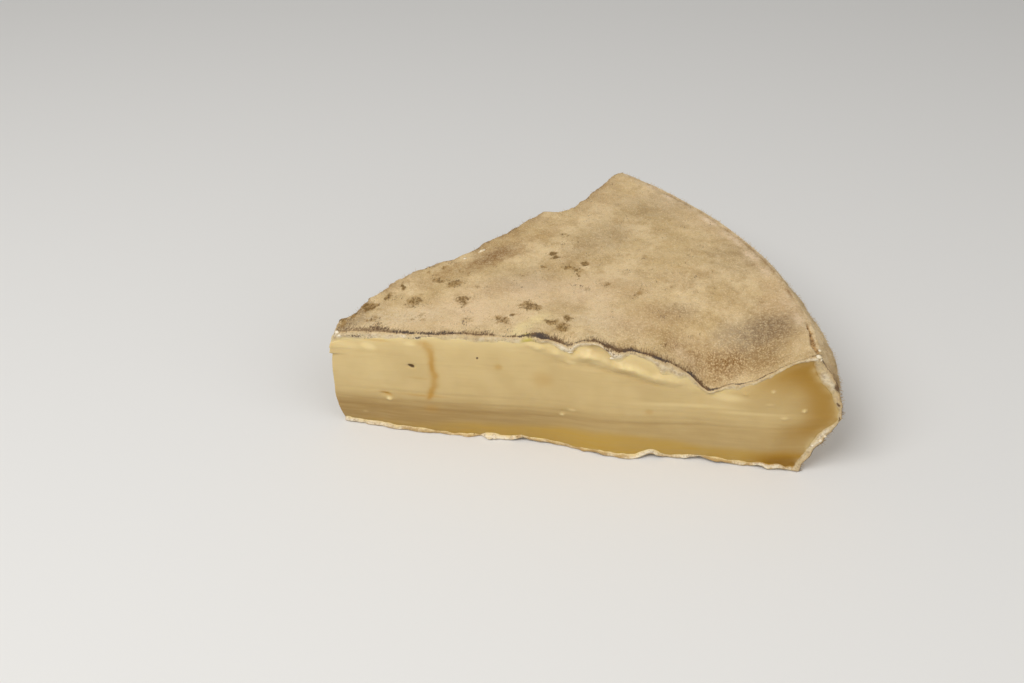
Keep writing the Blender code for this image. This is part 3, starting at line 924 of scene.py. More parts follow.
# Marks on the skin's cut edge and the dark line along it, in mm: place along the cut, value.
rindMarks = {
    "white": (  # how white the skin's cut edge is, by place along the top; the peaks at 58.8 and 69.6 are partly painted highlights on its lumps
        (0, 0.45), (12, 0.5), (22, 0.35), (27, 0.3), (45, 0.4), (49, 0.2), (53, 0.45), (56, 0.5),
        (58.8, 1.6), (61, 0.6), (65, 0.6), (67.5, 0.65), (69.6, 1.7), (72, 0.5), (75, 0.1), (78, 0.4),
        (82, 0.5), (86, 0.35), (90, 0.2), (94, 0.3), (100, 0.3), (112, 0.3), (117, 0.7),
    ),
    "whiteWall": (  # by height on the wall
        (0, 0.3), (6, 0.25), (9, 0.65), (13, 0.65), (15, 0.3), (17, 0.1), (23, 0), (26, 0.2), (28.5, 0.7),
        (30.5, 0.6), (32, 0.3), (34.5, 0.1), (36.5, 0.6),
    ),
    "whiteFoot": (  # and along the underside; where it is low the lip turns darker golden, partly painted shade
        (0, 0.75), (14, 0.6), (20, 0.4), (25, 0.25), (32, 0.4), (36, 0.3), (37.5, 0.95), (43, 0.85),
        (47, 0.35), (53, 0.25), (60, 0.4), (64, 0.2), (67.5, 0.1), (70, 0.5), (74, 0.35), (79, 0.95),
        (83, 0.6), (86, 0.3), (90, 0.95), (93, 0.7), (95.5, 0.1), (100, 0.15), (103, 0.6), (105.5, 0.3),
        (108.5, 0.9), (111, 0.75), (116, 0.5),
    ),
    "lineStrength": (
        (0, 0.3), (6, 0.42), (9, 0.74), (20, 0.76), (23, 0.36), (27, 0.62), (38, 0.6), (42, 0.46),
        (45.4, 0.85), (46.6, 0.85), (48, 0.9), (49.5, 0.8), (50.5, 1.1), (55, 0.95), (57, 0.75), (60, 0.62),
        (63, 0.6), (66, 0.75), (68.5, 1), (72, 0.9), (75, 0.6), (78, 0.6), (81, 0.85), (85, 0.7),
        (89, 1.05), (92, 1), (94, 0.8), (96, 0.8), (117, 0.75),
    ),
    "lineWidth": (
        (0, 0.7), (5, 0.8), (9, 1.3), (13, 1.35), (16, 0.8), (20, 0.9), (24, 0.6), (30, 1), (36, 0.95),
        (42, 0.7), (45, 0.5), (47, 0.3), (49, 0.45), (51, 1.3), (54, 1.1), (58, 0.45), (61, 0.3),
        (65, 0.35), (68, 0.6), (71, 0.8), (74, 0.4), (77, 0.35), (80, 0.5), (86, 0.55), (90, 1), (93, 0.5),
        (97, 0.3), (117, 0.25),
    ),
    "hatch": (  # brown hairs over the line
        (0, 0.7), (4, 0.7), (8, 0.95), (16, 0.9), (20, 0.5), (26, 0.8), (36, 0.8), (42, 0.5), (45, 0.3),
        (47, 0.1), (50, 0.4), (52, 1), (57, 0.9), (60, 0.5), (65, 0.75), (70, 1), (76, 0.85), (82, 0.75),
        (88, 0.8), (93, 0.5), (97, 0.1), (117, 0.05),
    ),
    "lineShift": (
        (0, 0.8), (8, 1.2), (12, 1.2), (16, 0.5), (20, 0), (26, 0.4), (30, 0.3), (36, 0.1), (42, 0),
        (117, 0),
    ),
    "hatchReach": 1.5,
    "lineWander": (2.5, 0.35, 49),  # how its width varies: lump size, share, seed
    "feather": (0.14, 2),  # its faint outer border: strength, reach
    "featherEnds": (92, 98),
    "featherGap": (48, 3, 1),  # and where that is missing: place, half-width from, to
    "otherLine": (0.35, 0.5, 1.5),  # by the back cut and the tip: strength, reach, power
    "wallLine": (0.8, 0.4),  # on the wall and the underside; along the underside's edge by the floor it is partly dark bits and partly painted shadow
    "brownByBack": (0.6, 1.8),
    "brownByRim": (0.8, 0.6, 2),  # strength, reach, power
    "rimBrownFrom": (12, 20),  # how far off the front cut it begins
    "brownByFront": (0.7, 2.2),
    "edgePatches": (4, 0.6, 1.2, 50),  # lump size, share, swing, seed
    "frontPatches": (2.6, 0.3, 1.6, 53),
    "rimReach": 1.4,
    "stripLine": (0.12, 0.3, 0.75),  # the line over the cut edge: reach, strength by the lip, elsewhere
    "stripYellow": (48.6, 1.5, 0.55, 0.35),  # place, half-width, share of the way in, half-width
    "calmFrom": 93,  # past this place the line is fine and even
    "stripSpots": (  # dark spots of the cut edge: place, share of the way in, half-width, strength
        (5, 0.45, 2.6, 0.75), (8.5, 0.75, 1.4, 0.7), (20.5, 0.55, 2.4, 0.8), (42.5, 0.7, 1.6, 0.7),
        (58.5, 0.2, 1.6, 0.5), (69.5, 0.25, 2.5, 0.6),
    ),
    "wallSpots": (  # by height
        (22.3, 0.45, 0.75, 1.1), (17.7, 0.4, 1, 1.1), (27, 0.15, 1.6, 0.95), (30.6, 0.3, 0.6, 0.6),
    ),
}


class RindGrid:
    # The outer sheet's grid: rows run over the top, down the wall and back under, columns from cut to cut.
    def __init__(self):
        topRows, wallRows, footRows = rindLook["rows"]
        v = crowd(np.linspace(0, 1, rindLook["columns"] + 1))
        overTop, under = (crowd(np.linspace(0, 1, rows + 1), 0.4) for rows in (topRows, footRows))
        u = [overTop, np.ones(wallRows), under[::-1][1:]]
        w = [np.ones(topRows + 1), np.linspace(1, 0, wallRows + 1)[1:], np.zeros(footRows)]
        part = np.repeat([0, 1, 2], [topRows + 1, wallRows, footRows])
        self.u, self.v = np.meshgrid(np.concatenate(u), v, indexing="ij")
        self.w, self.part = (np.repeat(row[:, None], len(v), axis=1) for row in (np.concatenate(w), part))
        self.shape = self.u.shape
        self.onTop, self.onWall, self.onFoot = (self.part == i for i in range(3))
        self.rimRow = topRows
        self.footRow = topRows + wallRows

    def points(self, *skins):
        flat = wedgePoint(self.u.ravel(), self.v.ravel(), self.w.ravel(), *(s.ravel() for s in skins))
        return flat.reshape(*self.shape, 3)

    def noise(self, points, layers, stretch=(1, 1, 1)):
        return unevenness(points.reshape(-1, 3) * stretch, layers).reshape(self.shape)

    def measure(self, outer):
        # Distances over the surface from the cuts, the tip and the rim.
        far = 99.0
        slant = 0.9  # rows meet the cuts at a slant
        self.fromFront = slant * np.linalg.norm(outer - outer[:, :1], axis=2)
        self.fromBack = slant * np.linalg.norm(outer - outer[:, -1:], axis=2)
        tipRows = np.where(self.onTop[..., None], outer[:1], outer[-1:])
        self.fromTip = np.where(self.onWall, far, np.linalg.norm(outer - tipRows, axis=2))
        self.fromRim = np.where(self.onTop, np.linalg.norm(outer - outer[self.rimRow], axis=2), far)
        self.edgeGap = np.minimum(np.minimum(self.fromFront, self.fromBack), self.fromTip)


def cutNormals():
    direction, _ = backLine()
    return np.array([[0, -1, 0], [-direction[1], direction[0], 0], [-1, 0, 0]])


def raggedWaves(grid, x):
    return grid.onTop * bumps(edges["topWaves"], x) + grid.onFoot * bumps(edges["footWaves"], x)


def grooveAt(grid, outer):
    # The open slit along the rim by the front cut, tapering to its far end.
    y = outer[..., 1]
    spots, middles, widths = zip(*rindRelief["groove"])
    wander = grid.noise(outer, rindRelief["grooveWander"])
    gap = (grid.fromRim - np.interp(y, spots, middles) - wander) / np.interp(y, spots, widths)
    end = spots[-1]
    before, after = rindRelief["grooveEnd"]
    return grid.onTop * (1 - smooth(y, end - before, end + after)) * np.exp(-(gap**4))


def displacedSheet(grid, outer, waves):
    # Ragged edges, wrinkles and relief of the outer sheet. Nothing goes below the underside.
    x, y = outer[..., 0], outer[..., 1]
    ragged = grid.noise(outer, edges["ragged"])
    moved = outer.copy()
    proud = (np.where(grid.onFoot, edges["lipProud"], edges["proud"]),) * 2 + (edges["tipProud"],)
    backWaves = grid.onTop * bumps(edges["backWaves"], x)
    edgeWaves = waves, backWaves + (edges["backRagged"] - 1) * ragged, 0
    for i, gap in enumerate((grid.fromFront, grid.fromBack, grid.fromTip)):
        out = ragged + edges["proudShare"] * proud[i] + edgeWaves[i]
        out = fading(gap, out, edges["fade"])
        moved += out[..., None] * cutNormals()[i]
    top = grid.noise(outer, rindRelief["top"])
    for placeX, placeY, length, width, turn, depth in rindRelief["creases"]:
        top -= depth * ellipse(x, y, placeX, placeY, length, width, turn)
    drop, reach, first, last = rindRelief["rimRound"]
    top -= fading(grid.fromRim, drop, reach, 1.5) * smooth(grid.fromFront, first, last)
    groove = rindRelief["grooveDepth"] * grooveAt(grid, outer)
    top -= groove * smooth(grid.fromFront, *rindRelief["grooveStart"])
    moved[..., 2] += np.where(grid.onTop, top, 0)
    lift = footLiftAt(grid.u, grid.v) * np.exp(-grid.fromFront / skin["liftReach"])
    moved[..., 2] += np.where(grid.onFoot, lift, 0)
    wall = grid.noise(outer, rindRelief["wall"], rindRelief["wallStretch"])
    wall = wall * np.where(grid.onWall, np.minimum(1, np.minimum(grid.w, 1 - grid.w) * 12 + 0.1), 0)
    radial = outer[..., :2] - body["wheelMiddle"]
    moved[..., :2] += wall[..., None] * radial / np.linalg.norm(radial, axis=2, keepdims=True)
    moved[..., 2] = np.maximum(moved[..., 2], 0)
    return moved


class Loop:
    # The sheet's border, all round: front cut, tip of the underside, back cut, tip of the top.
    def __init__(self, grid):
        rows, columns = grid.shape
        r, c = np.arange(rows), np.arange(columns)
        down, across = np.zeros(rows - 1, int), np.zeros(columns - 1, int)
        self.row = np.concatenate([r[:-1], across + rows - 1, r[:0:-1], across])
        self.column = np.concatenate([down, c[:-1], down + columns - 1, c[:0:-1]])
        self.side = np.repeat([0, 2, 1, 2], [rows - 1, columns - 1, rows - 1, columns - 1])
        self.onFront, self.onBack, self.onTip = (self.side == i for i in range(3))
        self.onLip = self.take(grid.onFoot)
        self.onWall = self.take(grid.onWall)
        even = np.ones(9) / 9  # the outward direction turns the corners over this many points
        normals = cutNormals()[self.side].T
        turned = [np.convolve(np.r_[n[-4:], n, n[:4]], even, "valid") for n in normals]
        self.outward = np.stack(turned, axis=1)

    def take(self, values):
        return values[self.row, self.column]


def cutStrip(loop, edgePoints, innerPoints, waves):
    # Rows of points across the skin's cut edge, from its outer side to the paste.
    pushed, _ = pushCut(innerPoints, loop.onFront, loop.onBack, loop.onTip)
    proud = np.where(loop.onLip, edges["lipProud"], edges["proud"])
    proud = np.where(loop.onTip, edges["tipProud"], proud) + 0.5 * np.maximum(waves * loop.onFront, 0)
    proud = proud + bumps(edges["lumps"], edgePoints[:, 0]) * loop.onFront * ~loop.onLip
    peak, fall = edges["bulge"]
    count = rindLook["stripRows"]
    rows = []
    for k in range(1, count + 1):
        share = k / count
        points = blend(edgePoints, pushed, share)
        bulge = 1 - (1 - share / peak) ** 2 if share < peak else clamp(1 - ((share - peak) / fall) ** 2) ** 2
        swell = proud * bulge - edges["sunk"] * smooth(share, 0.7, 1.0)
        swell = swell + unevenness(points + 31, edges["rough"]) * (1 - share**3)
        rows.append(points + loop.outward * swell[:, None])
    strip = np.array(rows)
    strip[..., 2] = np.maximum(strip[..., 2], 0)
    return strip[:-1], strip[-1]


def calmAt(x):
    return smooth(x, rindMarks["calmFrom"] - 3, rindMarks["calmFrom"] + 3)


def lineAt(grid, outer):
    # The dark line along the skin's edge, with a feathered border but for its calm end.
    x = outer[..., 0]
    size, share, seed = rindMarks["lineWander"]
    wide = along(rindMarks["lineWidth"], x) * (1 + share * grid.noise(outer, ((size, 1.0, seed),)))
    away = np.abs(grid.fromFront - along(rindMarks["lineShift"], x))
    line = fading(away, along(rindMarks["lineStrength"], x), np.maximum(wide, 0.2), 1.5)
    feather = fading(grid.fromFront, *rindMarks["feather"]) * (1 - smooth(x, *rindMarks["featherEnds"]))
    middle, first, last = rindMarks["featherGap"]
    line += feather * (1 - smooth(np.abs(x - middle), first, last))
    line = np.maximum(line, fading(np.minimum(grid.fromBack, grid.fromTip), *rindMarks["otherLine"]))
    # on the wall and the underside; by the floor this dark border is partly painted shadow
    return np.where(grid.onTop, line, fading(grid.edgeGap, *rindMarks["wallLine"]))


def brownAt(grid, outer):
    # Brown by the back cut, along the rim, and on the wall by the front cut.
    def patches(size, share, swing, seed):
        return clamp(share + swing * grid.noise(outer, ((size, 1.0, seed),)))

    byBack = fading(grid.fromBack, *rindMarks["brownByBack"])
    onward = smooth(outer[..., 1], *rindMarks["rimBrownFrom"])
    byRim = fading(grid.fromRim, *rindMarks["brownByRim"]) * onward
    byEdge = grid.onTop * np.maximum(byBack, byRim) * patches(*rindMarks["edgePatches"])
    byFront = grid.onWall * fading(grid.fromFront, *rindMarks["brownByFront"])
    return clamp(byEdge + byFront * patches(*rindMarks["frontPatches"]))


def sheetMasks(grid, outer):
    x, y = outer[..., 0], outer[..., 1]
    size, reach, seed = rindRelief["warp"]
    warps = [((size, 1.0, seed + i), (size / 3, 0.35, seed + 5 + i)) for i in range(2)]
    warped = [spot + reach * grid.noise(outer, warp) for spot, warp in zip((x, y), warps)]
    masks = {name: grid.onTop * spots(*warped, marks) for name, marks in topMarks.items()}
    onRim = np.where(grid.onWall, smooth(grid.w, 0.8, 1.0), 0)
    hatch = along(rindMarks["hatch"], x)
    return masks | {
        "wall": np.where(grid.onWall, 1.0, 0.0),
        "rim": np.where(grid.onTop, fading(grid.fromRim, 1, rindMarks["rimReach"]), onRim),
        "brown": brownAt(grid, outer),
        "groove": grooveAt(grid, outer),
        "line": lineAt(grid, outer),
        "hatch": grid.onTop * fading(grid.fromFront, hatch, rindMarks["hatchReach"]),
        "calm": np.where(grid.onFoot, 0.5, calmAt(x)),
        **{name: 0 * x for name in ("cut", "cutShare", "cutAmber", "cutWhite", "lip")},
        "tufts": grid.noise(outer, ((2.6, 1.0, 58),)),
    }


def stripMasks(loop, strip):
    share = np.repeat((np.arange(1, len(strip) + 1) / (len(strip) + 1))[:, None], strip.shape[1], axis=1)
    x, z = strip[..., 0], strip[..., 2]
    front = loop.onFront * ~loop.onLip
    reach, byLip, elsewhere = rindMarks["stripLine"]
    line = fading(share, np.where(loop.onLip, byLip, elsewhere), reach, 2)
    places = (x, front, 0.2, "stripSpots"), (z, loop.onFront * loop.onWall, 0.25, "wallSpots")
    for run, shown, across, table in places:
        for spot, at, width, strength in rindMarks[table]:
            line = np.maximum(line, shown * strength * hump(run - spot, width) * hump(share - at, across))
    white = np.where(loop.onWall, along(rindMarks["whiteWall"], z), along(rindMarks["white"], x))
    middle, width, wayIn, across = rindMarks["stripYellow"]
    return {
        "cut": clamp(share * 3),
        "cutShare": share,
        "cutAmber": amberAt(x.ravel(), z.ravel()).reshape(share.shape) * loop.onFront,
        "lip": loop.onLip * np.ones_like(share),
        "cutWhite": np.where(loop.onLip, along(rindMarks["whiteFoot"], x), white),
        "line": line,
        "calm": calmAt(x),
        "yellow": front * hump(x - middle, width) * hump(share - wayIn, across),
    }


def layCutEdge(f):
    # The skin's cut edge: white or grey outside, turning into paste on its inner side.
    skinColour = f.colour
    share = f.mask("cutShare")
    lumpy = f.plus(share, f.swing(f.noise(1.8, 3.0, 0.65), 0.7))
    white = f.plus(f.mask("cutWhite"), f.swing(f.noise(1.5, 3.0, 0.65), 1.3))
    f.colour = f.mix(f.step(white, 0.1, 0.95), "cutCream", "cutWhite")
    f.lay("cutGrey", 0.72, f.step(f.noise(1.1, 3.0, 0.7), 0.46, 0.66))
    f.lay("cutGrey", f.step(share, 0.05, 0.25, 0.8, 0.0))
    f.lay("cutCream", f.step(lumpy, 0.60, 1.0, 0.0, 0.8))
    f.lay("cutRipe", "cutAmber", f.step(lumpy, 0.75, 1.05, 0.0, 0.8))
    # darker golden on the underside's lip where it is not white, partly painted shade
    f.lay("lip", "lip", f.step(white, 0.15, 0.75, 0.9, 0.0))
    meeting = f.mix(f.mask("cutAmber"), tone(pasteLook["pale"]), tone(pasteLook["amber"]))
    f.lay(meeting, f.step(lumpy, 0.46, 0.96))
    f.colour = f.mix(f.mask("cut"), skinColour, f.colour)
    f.lay("yellow", "yellow", 0.85)


def layLine(f):
    # The dark line along the edge, and the brown hairs over it.
    calm = f.mask("calm")
    feathers = f.plus(f.noise(0.7, 3.0, 0.7, (0.5, 1.4, 0.7)), -0.5)
    gaps = f.swing(f.noise(3.5, 2.0, 0.5), f.step(calm, 0.0, 1.0, 1.6, 0.6))
    line = f.plus(f.plus(f.mask("line"), gaps), f.times(feathers, f.step(calm, 0.0, 1.0, 2.6, 1.0)))
    hairs = f.swing(f.noise(1.0, 3.0, 0.7, (0.32, 1.3, 0.7)), 1.9)
    f.lay("hatch", 0.72, f.step(f.plus(f.mask("hatch"), hairs), 0.28, 0.70))
    lineColour = f.mix(f.step(f.noise(4.0, 2.0), 0.44, 0.56), "line", "lineBrown")
    f.lay(lineColour, 0.92, f.step(line, 0.38, 0.88))


def rindFinish(name="rind", tips=0.0):
    # The same colours serve the skin and its hairs, whose tips are paler.
    f = Finish(name, rindLook)
    fine = f.noise(0.42, 3.0, 0.65)
    grain = f.noise(0.9, 3.0, 0.6)
    hair = f.noise(0.30, 2.0, 0.6)
    broad = f.noise(11.0, 3.0, 0.55)
    f.colour = f.mix(f.step(broad, 0.35, 0.65), "base", "light")
    f.lay("olive", f.step(f.noise(4.6, 4.0, 0.62), 0.44, 0.68), 0.55)
    f.lay("olive", f.step(f.noise(1.9, 3.0, 0.6), 0.50, 0.70), 0.36)
    f.lay("light", f.step(f.noise(2.6, 3.0, 0.6), 0.52, 0.70), 0.30)
    f.lay("pinkish", "pinkish", f.step(broad, 0.25, 0.6, 0.4, 0.9))
    f.lay("bloom", "bloom", f.step(grain, 0.30, 0.62))
    f.lay("ochre", "ochre", f.step(grain, 0.30, 0.62, 0.3, 1.0))
    f.lay("shade", "shade", f.step(grain, 0.25, 0.65, 0.55, 0.95))
    goldenGrain = f.mix(f.step(fine, 0.42, 0.60), "golden", "goldenLight")
    f.lay(goldenGrain, "golden", f.step(grain, 0.30, 0.60, 0.5, 0.9))
    f.lay("brown", f.step(f.noise(5.0, 5.0, 0.7), 0.46, 0.68), 0.55, "wall")
    f.lay("hatch", f.step(f.noise(0.8, 4.0, 0.7), 0.58, 0.68), 0.6, "wall")
    f.lay("powder", "rim", f.step(f.noise(2.4, 3.0, 0.6), 0.40, 0.60, 0.55, 0.0))
    f.lay("chalk", "chalk", f.step(f.noise(1.3, 3.0, 0.65), 0.34, 0.60, 0.25, 0.9))
    f.lay("brown", "brown")
    f.lay("powder", f.step(fine, 0.48, 0.68), 0.42)
    f.lay("fleck", f.step(hair, 0.54, 0.70), 0.40)
    slit = f.mix(f.step(grain, 0.42, 0.58), "brown", "rust")
    f.lay(slit, f.step(f.plus(f.mask("groove"), f.swing(fine, 1.2)), 0.25, 0.85), 0.9)
    f.lay("bare", "bare", f.step(grain, 0.30, 0.66, 0.9, 0.45))
    mould = f.mask("mould")
    smear = f.plus(f.swing(f.noise(1.5, 3.0, 0.6), 1.4), f.times(mould, 0.65))
    f.lay("halo", f.step(smear, 0.22, 0.62), 0.62)
    speckle = f.plus(f.swing(f.noise(0.72, 3.0, 0.75, (1.0, 1.5, 1.0)), 2.3), f.times(mould, 0.52))
    f.lay("mould", f.step(speckle, 0.32, 0.58), 0.70)
    layCutEdge(f)
    layLine(f)
    if tips:
        f.lay("powder", tips)
    felt = f.bump(f.noise(0.28, 4.0, 0.75), 0.11)
    f.set(
        Base_Color=f.colour,
        Roughness=rindLook["roughness"],
        Normal=f.bump(grain, 0.16, felt),
        Subsurface_Weight=0.15,
        Subsurface_Radius=(0.8, 0.6, 0.35),
        Subsurface_Scale=0.6 * mm,
        Specular_IOR_Level=0.25,
        Sheen_Weight=0.05,
        Sheen_Roughness=0.6,
    )
    return f.material


def makeRind():
    grid = RindGrid()
    outer = grid.points()
    grid.measure(outer)
    tuck = grid.noise(outer, edges["thicknessWave"])
    skins = topSkinAt(grid.u), wallSkinAt(grid.v, outer[..., 2]), footSkinAt(grid.u, grid.v)
    tuck = tuck + edges["deeper"] * np.exp(-grid.edgeGap)
    inner = grid.points(*(np.maximum(thickness + tuck, edges["thinnest"]) for thickness in skins))
    waves = raggedWaves(grid, outer[..., 0])
    moved = displacedSheet(grid, outer, waves)
    loop = Loop(grid)
    strip, last = cutStrip(loop, loop.take(moved), loop.take(inner), loop.take(waves))
    inner[loop.row, loop.column] = last

    # Vertex numbers: outer sheet, inner sheet, rows of the strip between them.
    sheet = outer[..., 0].size
    numbers = np.arange(sheet).reshape(grid.shape)
    border = loop.take(numbers)
    stripNumbers = 2 * sheet + np.arange(strip[..., 0].size).reshape(len(strip), -1)
    band = np.vstack([border[None], stripNumbers, (border + sheet)[None]])
    faces = gridFaces(numbers[: grid.footRow + 1])
    faces += gridFaces(numbers[grid.footRow :], 5)  # the flat underside
    faces += gridFaces((numbers + sheet).T, 9)  # the hidden inner side
    faces += gridFaces(np.hstack([band, band[:, :1]]))

    points = np.vstack([part.reshape(-1, 3) for part in (moved, inner, strip)])
    onSheet, onStrip = sheetMasks(grid, outer), stripMasks(loop, strip)
    onSheet["fuzz"] = fuzzShare(grid, onSheet)
    onSheet["felt"] = feltShare(grid, onSheet)
    masks = {}
    for name, values in onSheet.items():
        across = onStrip.get(name, np.zeros(strip.shape[:2]))
        hidden = np.full(sheet, float(name in ("cut", "cutShare")))
        masks[name] = np.concatenate([values.ravel(), hidden, across.ravel()])
    return makePiece("rind", points, faces, masks, rindFinish())


# The skin's short felt and its longer curled hairs, in mm.
fuzzTips = 0.12  # how much paler than the skin
felt = {
    "share": "felt",
    "count per mm2": 4.4,
    "length": 0.3,
    "thickness": 0.11,
    "leaning": 1.05,  # how far a hair may lean, in radians
    "curled": False,
    "seed": 7,
    "onWall": 0.75,  # how densely it stands there, next to the top
    "byFront": (0.8, 0.4),  # how much thinner by the front cut, and its reach
}
curls = {
    "share": "fuzz",
    "count per mm2": 2.6,
    "length": 0.85,
    "thickness": 0.075,
    "leaning": 0.8,
    "curled": True,
    "seed": 5,
    "onTop": 0.04,
    "onWall": 0.6,
    "topByBack": (1.3, 0.8),  # density at an edge, and its reach
    "topByRim": (0.7, 1.2),
    "topByFront": (0.6, 0.5),
    "untilShare": (0.8, 0.85),  # where those end, as a share of the way to the rim
    "wallByFront": (1.3, 5),
    "inMould": 0.35,
    "tufts": (-0.3, 0.5, 1.5),  # noise from, noise to, share
}


def feltShare(grid, masks):
    # Where the short felt stands: over the top and down the wall.
    share = np.where(grid.onTop, 1.0, np.where(grid.onWall, felt["onWall"], 0.0))
    return share * (1 - clamp(masks["bare"])) * (1 - grid.onTop * fading(grid.fromFront, *felt["byFront"]))


def fuzzShare(grid, masks):
    # Where longer hairs stand: by the edges, down the wall and in the mould, in tufts.
    share = np.where(grid.onTop, curls["onTop"], np.where(grid.onWall, curls["onWall"], 0.0))
    byEdge = fading(grid.fromBack, *curls["topByBack"]) + fading(grid.fromRim, *curls["topByRim"])
    share = share + grid.onTop * byEdge + grid.onWall * fading(grid.fromFront, *curls["wallByFront"])
    most, reach = curls["topByFront"]
    byLine = fading(grid.fromFront, 1, reach) * (1 - smooth(grid.u, *curls["untilShare"]))
    share = share + grid.onTop * most * byLine
    inMould = curls["inMould"] * clamp(masks["mould"]) * grid.onTop
    low, high, most = curls["tufts"]
    return (share + inMould) * (1 - clamp(masks["bare"])) * most * smooth(masks["tufts"], low, high)


def hairTree(name, kind, finish):
    # One hair, stood over the faces by the share mask, turned at random and dressed in the finish.
    t = Tree(bpy.data.node_groups.new(name, "GeometryNodeTree"))
    node, maths, face = t.node, t.maths, t.tree.interface
    for given in ("Geometry", "Density", "Length", "Thickness", "Leaning", "Seed"):
        socket = {"Geometry": "Geometry", "Seed": "Int"}.get(given, "Float")
        face.new_socket(given, in_out="INPUT", socket_type="NodeSocket" + socket)
    face.new_socket("Geometry", in_out="OUTPUT", socket_type="NodeSocketGeometry")
    given = node("NodeGroupInput").outputs
    share = node("GeometryNodeInputNamedAttribute", {"Name": kind["share"]}, data_type="FLOAT")
    density = maths("MULTIPLY", share.outputs["Attribute"], given["Density"])
    spread = {"Mesh": given["Geometry"], "Density": density, "Seed": given["Seed"]}
    points = node("GeometryNodeDistributePointsOnFaces", spread)
    radius = maths("MULTIPLY", maths("DIVIDE", given["Thickness"], given["Length"]), 0.5)
    if kind["curled"]:
        bend = {"Resolution": 2, "Start": (0, 0, -0.1), "Middle": (0.05, 0, 0.55), "End": (0.55, 0, 0.85)}
        curve = node("GeometryNodeCurveQuadraticBezier", bend).outputs[0]
        along = node("GeometryNodeSplineParameter").outputs["Factor"]
        taper = node("ShaderNodeMapRange", {"Value": along, "To Min": 1.0, "To Max": 0.35}).outputs[0]
        radius = maths("MULTIPLY", taper, radius)
        curve = node("GeometryNodeSetCurveRadius", {"Curve": curve, "Radius": radius}).outputs[0]
        profile = node("GeometryNodeCurvePrimitiveCircle", {"Resolution": 3, "Radius": 1.0}).outputs[0]
        solid = node("GeometryNodeCurveToMesh", {"Curve": curve, "Profile Curve": profile, "Fill Caps": True})
        if "Scale" in solid.inputs:
            t.give(solid.inputs["Scale"], radius)
        hair = solid.outputs[0]
    else:
        cone = {"Vertices": 3, "Side Segments": 1, "Radius Top": 0.0, "Radius Bottom": radius, "Depth": 1.0}
        hair = node("GeometryNodeMeshCone", cone, fill_type="NGON").outputs["Mesh"]
        hair = node("GeometryNodeTransform", {"Geometry": hair, "Translation": (0, 0, -0.15)}).outputs[0]
    lean = given["Leaning"]
    back = maths("MULTIPLY", lean, -1.0)
    low = node("ShaderNodeCombineXYZ", {0: back, 1: back, 2: -math.pi}).outputs[0]
    high = node("ShaderNodeCombineXYZ", {0: lean, 1: lean, 2: math.pi}).outputs[0]
    spin = node("FunctionNodeRandomValue", {0: low, 1: high, "Seed": 3}, data_type="FLOAT_VECTOR").outputs[0]
    turned = {"Rotation": points.outputs["Rotation"], "Rotate By": spin}
    turned = node("FunctionNodeRotateRotation", turned, rotation_space="LOCAL").outputs[0]
    size = node("FunctionNodeRandomValue", {2: 0.4, 3: 1.3, "Seed": 4}, data_type="FLOAT").outputs[1]
    scale = maths("MULTIPLY", size, given["Length"])
    stood = {"Points": points.outputs["Points"], "Instance": hair, "Rotation": turned, "Scale": scale}
    hairs = node("GeometryNodeInstanceOnPoints", stood)
    real = node("GeometryNodeRealizeInstances", {"Geometry": hairs.outputs[0]})
    dressed = node("GeometryNodeSetMaterial", {"Geometry": real.outputs[0], "Material": finish})
    node("NodeGroupOutput", {"Geometry": dressed.outputs[0]})
    return t.tree


def makeHairs(name, kind, base, finish):
    # Runs the tree on the base's mesh and keeps the result as a plain mesh object.
    values = {
        "Density": kind["count per mm2"] / mm**2,
        "Length": kind["length"] * mm,
        "Thickness": kind["thickness"] * mm,
        "Leaning": kind["leaning"],
        "Seed": kind["seed"],
    }
    carrier = addObject(name, base.data)
    modifier = carrier.modifiers.new("grow", "NODES")
    modifier.node_group = hairTree(name, kind, finish)
    for item in modifier.node_group.interface.items_tree:
        if item.in_out == "INPUT" and item.name in values:
            modifier[item.identifier] = values[item.name]
    shown = carrier.evaluated_get(bpy.context.evaluated_depsgraph_get())
    mesh = bpy.data.meshes.new_from_object(shown)
    mesh.name = name
    spots = np.empty(3 * len(mesh.vertices), np.float32)
    mesh.vertices.foreach_get("co", spots)
    spots[2::3] = np.maximum(spots[2::3], 0)  # no hair below the underside
    mesh.vertices.foreach_set("co", spots)
    bpy.data.objects.remove(carrier)
    return reported(addObject(name, mesh))


# Crumbs of paste and skin that hang on the cuts' edges, in mm: rough place, half-sizes, turn. Each one is
# moved onto the nearest point of the skin.
crumbs = {
    "pieces": (
        ((0.2, -0.6, 29.2), (0.55, 0.45, 0.4), 10), ((1, -0.8, 28.4), (0.45, 0.3, 0.3), 40),
        ((29.6, 37.6, 35), (1.35, 0.4, 0.4), 50), ((26, 33.4, 34.4), (0.6, 0.3, 0.25), 35),
        ((117.2, -0.4, 36.6), (0.6, 0.45, 0.35), -20), ((118.2, -0.8, 35.4), (0.35, 0.35, 0.45), 30),
        ((117, 2.4, 36.4), (0.35, 0.4, 0.25), 0), ((121.4, -0.6, 10.6), (0.55, 0.35, 0.3), 0),
        ((120.2, -0.6, 8.9), (0.4, 0.35, 0.3), 20), ((122.6, -0.6, 12.2), (0.4, 0.3, 0.35), 50),
        ((38.6, -2.6, 1.2), (0.8, 0.35, 0.3), 0), ((40.8, -2.6, 1.2), (0.45, 0.3, 0.25), 30),
        ((69.4, -1, 30), (0.7, 0.3, 0.3), 20), ((59, -1, 30.6), (0.6, 0.25, 0.25), 0),
        ((81.4, -1, 28), (0.4, 0.25, 0.25), 0),
    ),
    "rings": (10, 6),
    "uneven": ((0.8, 0.3, 61), (0.35, 0.14, 62)),
    "colour": (242, 230, 206),
    "other": (228, 208, 168),
}


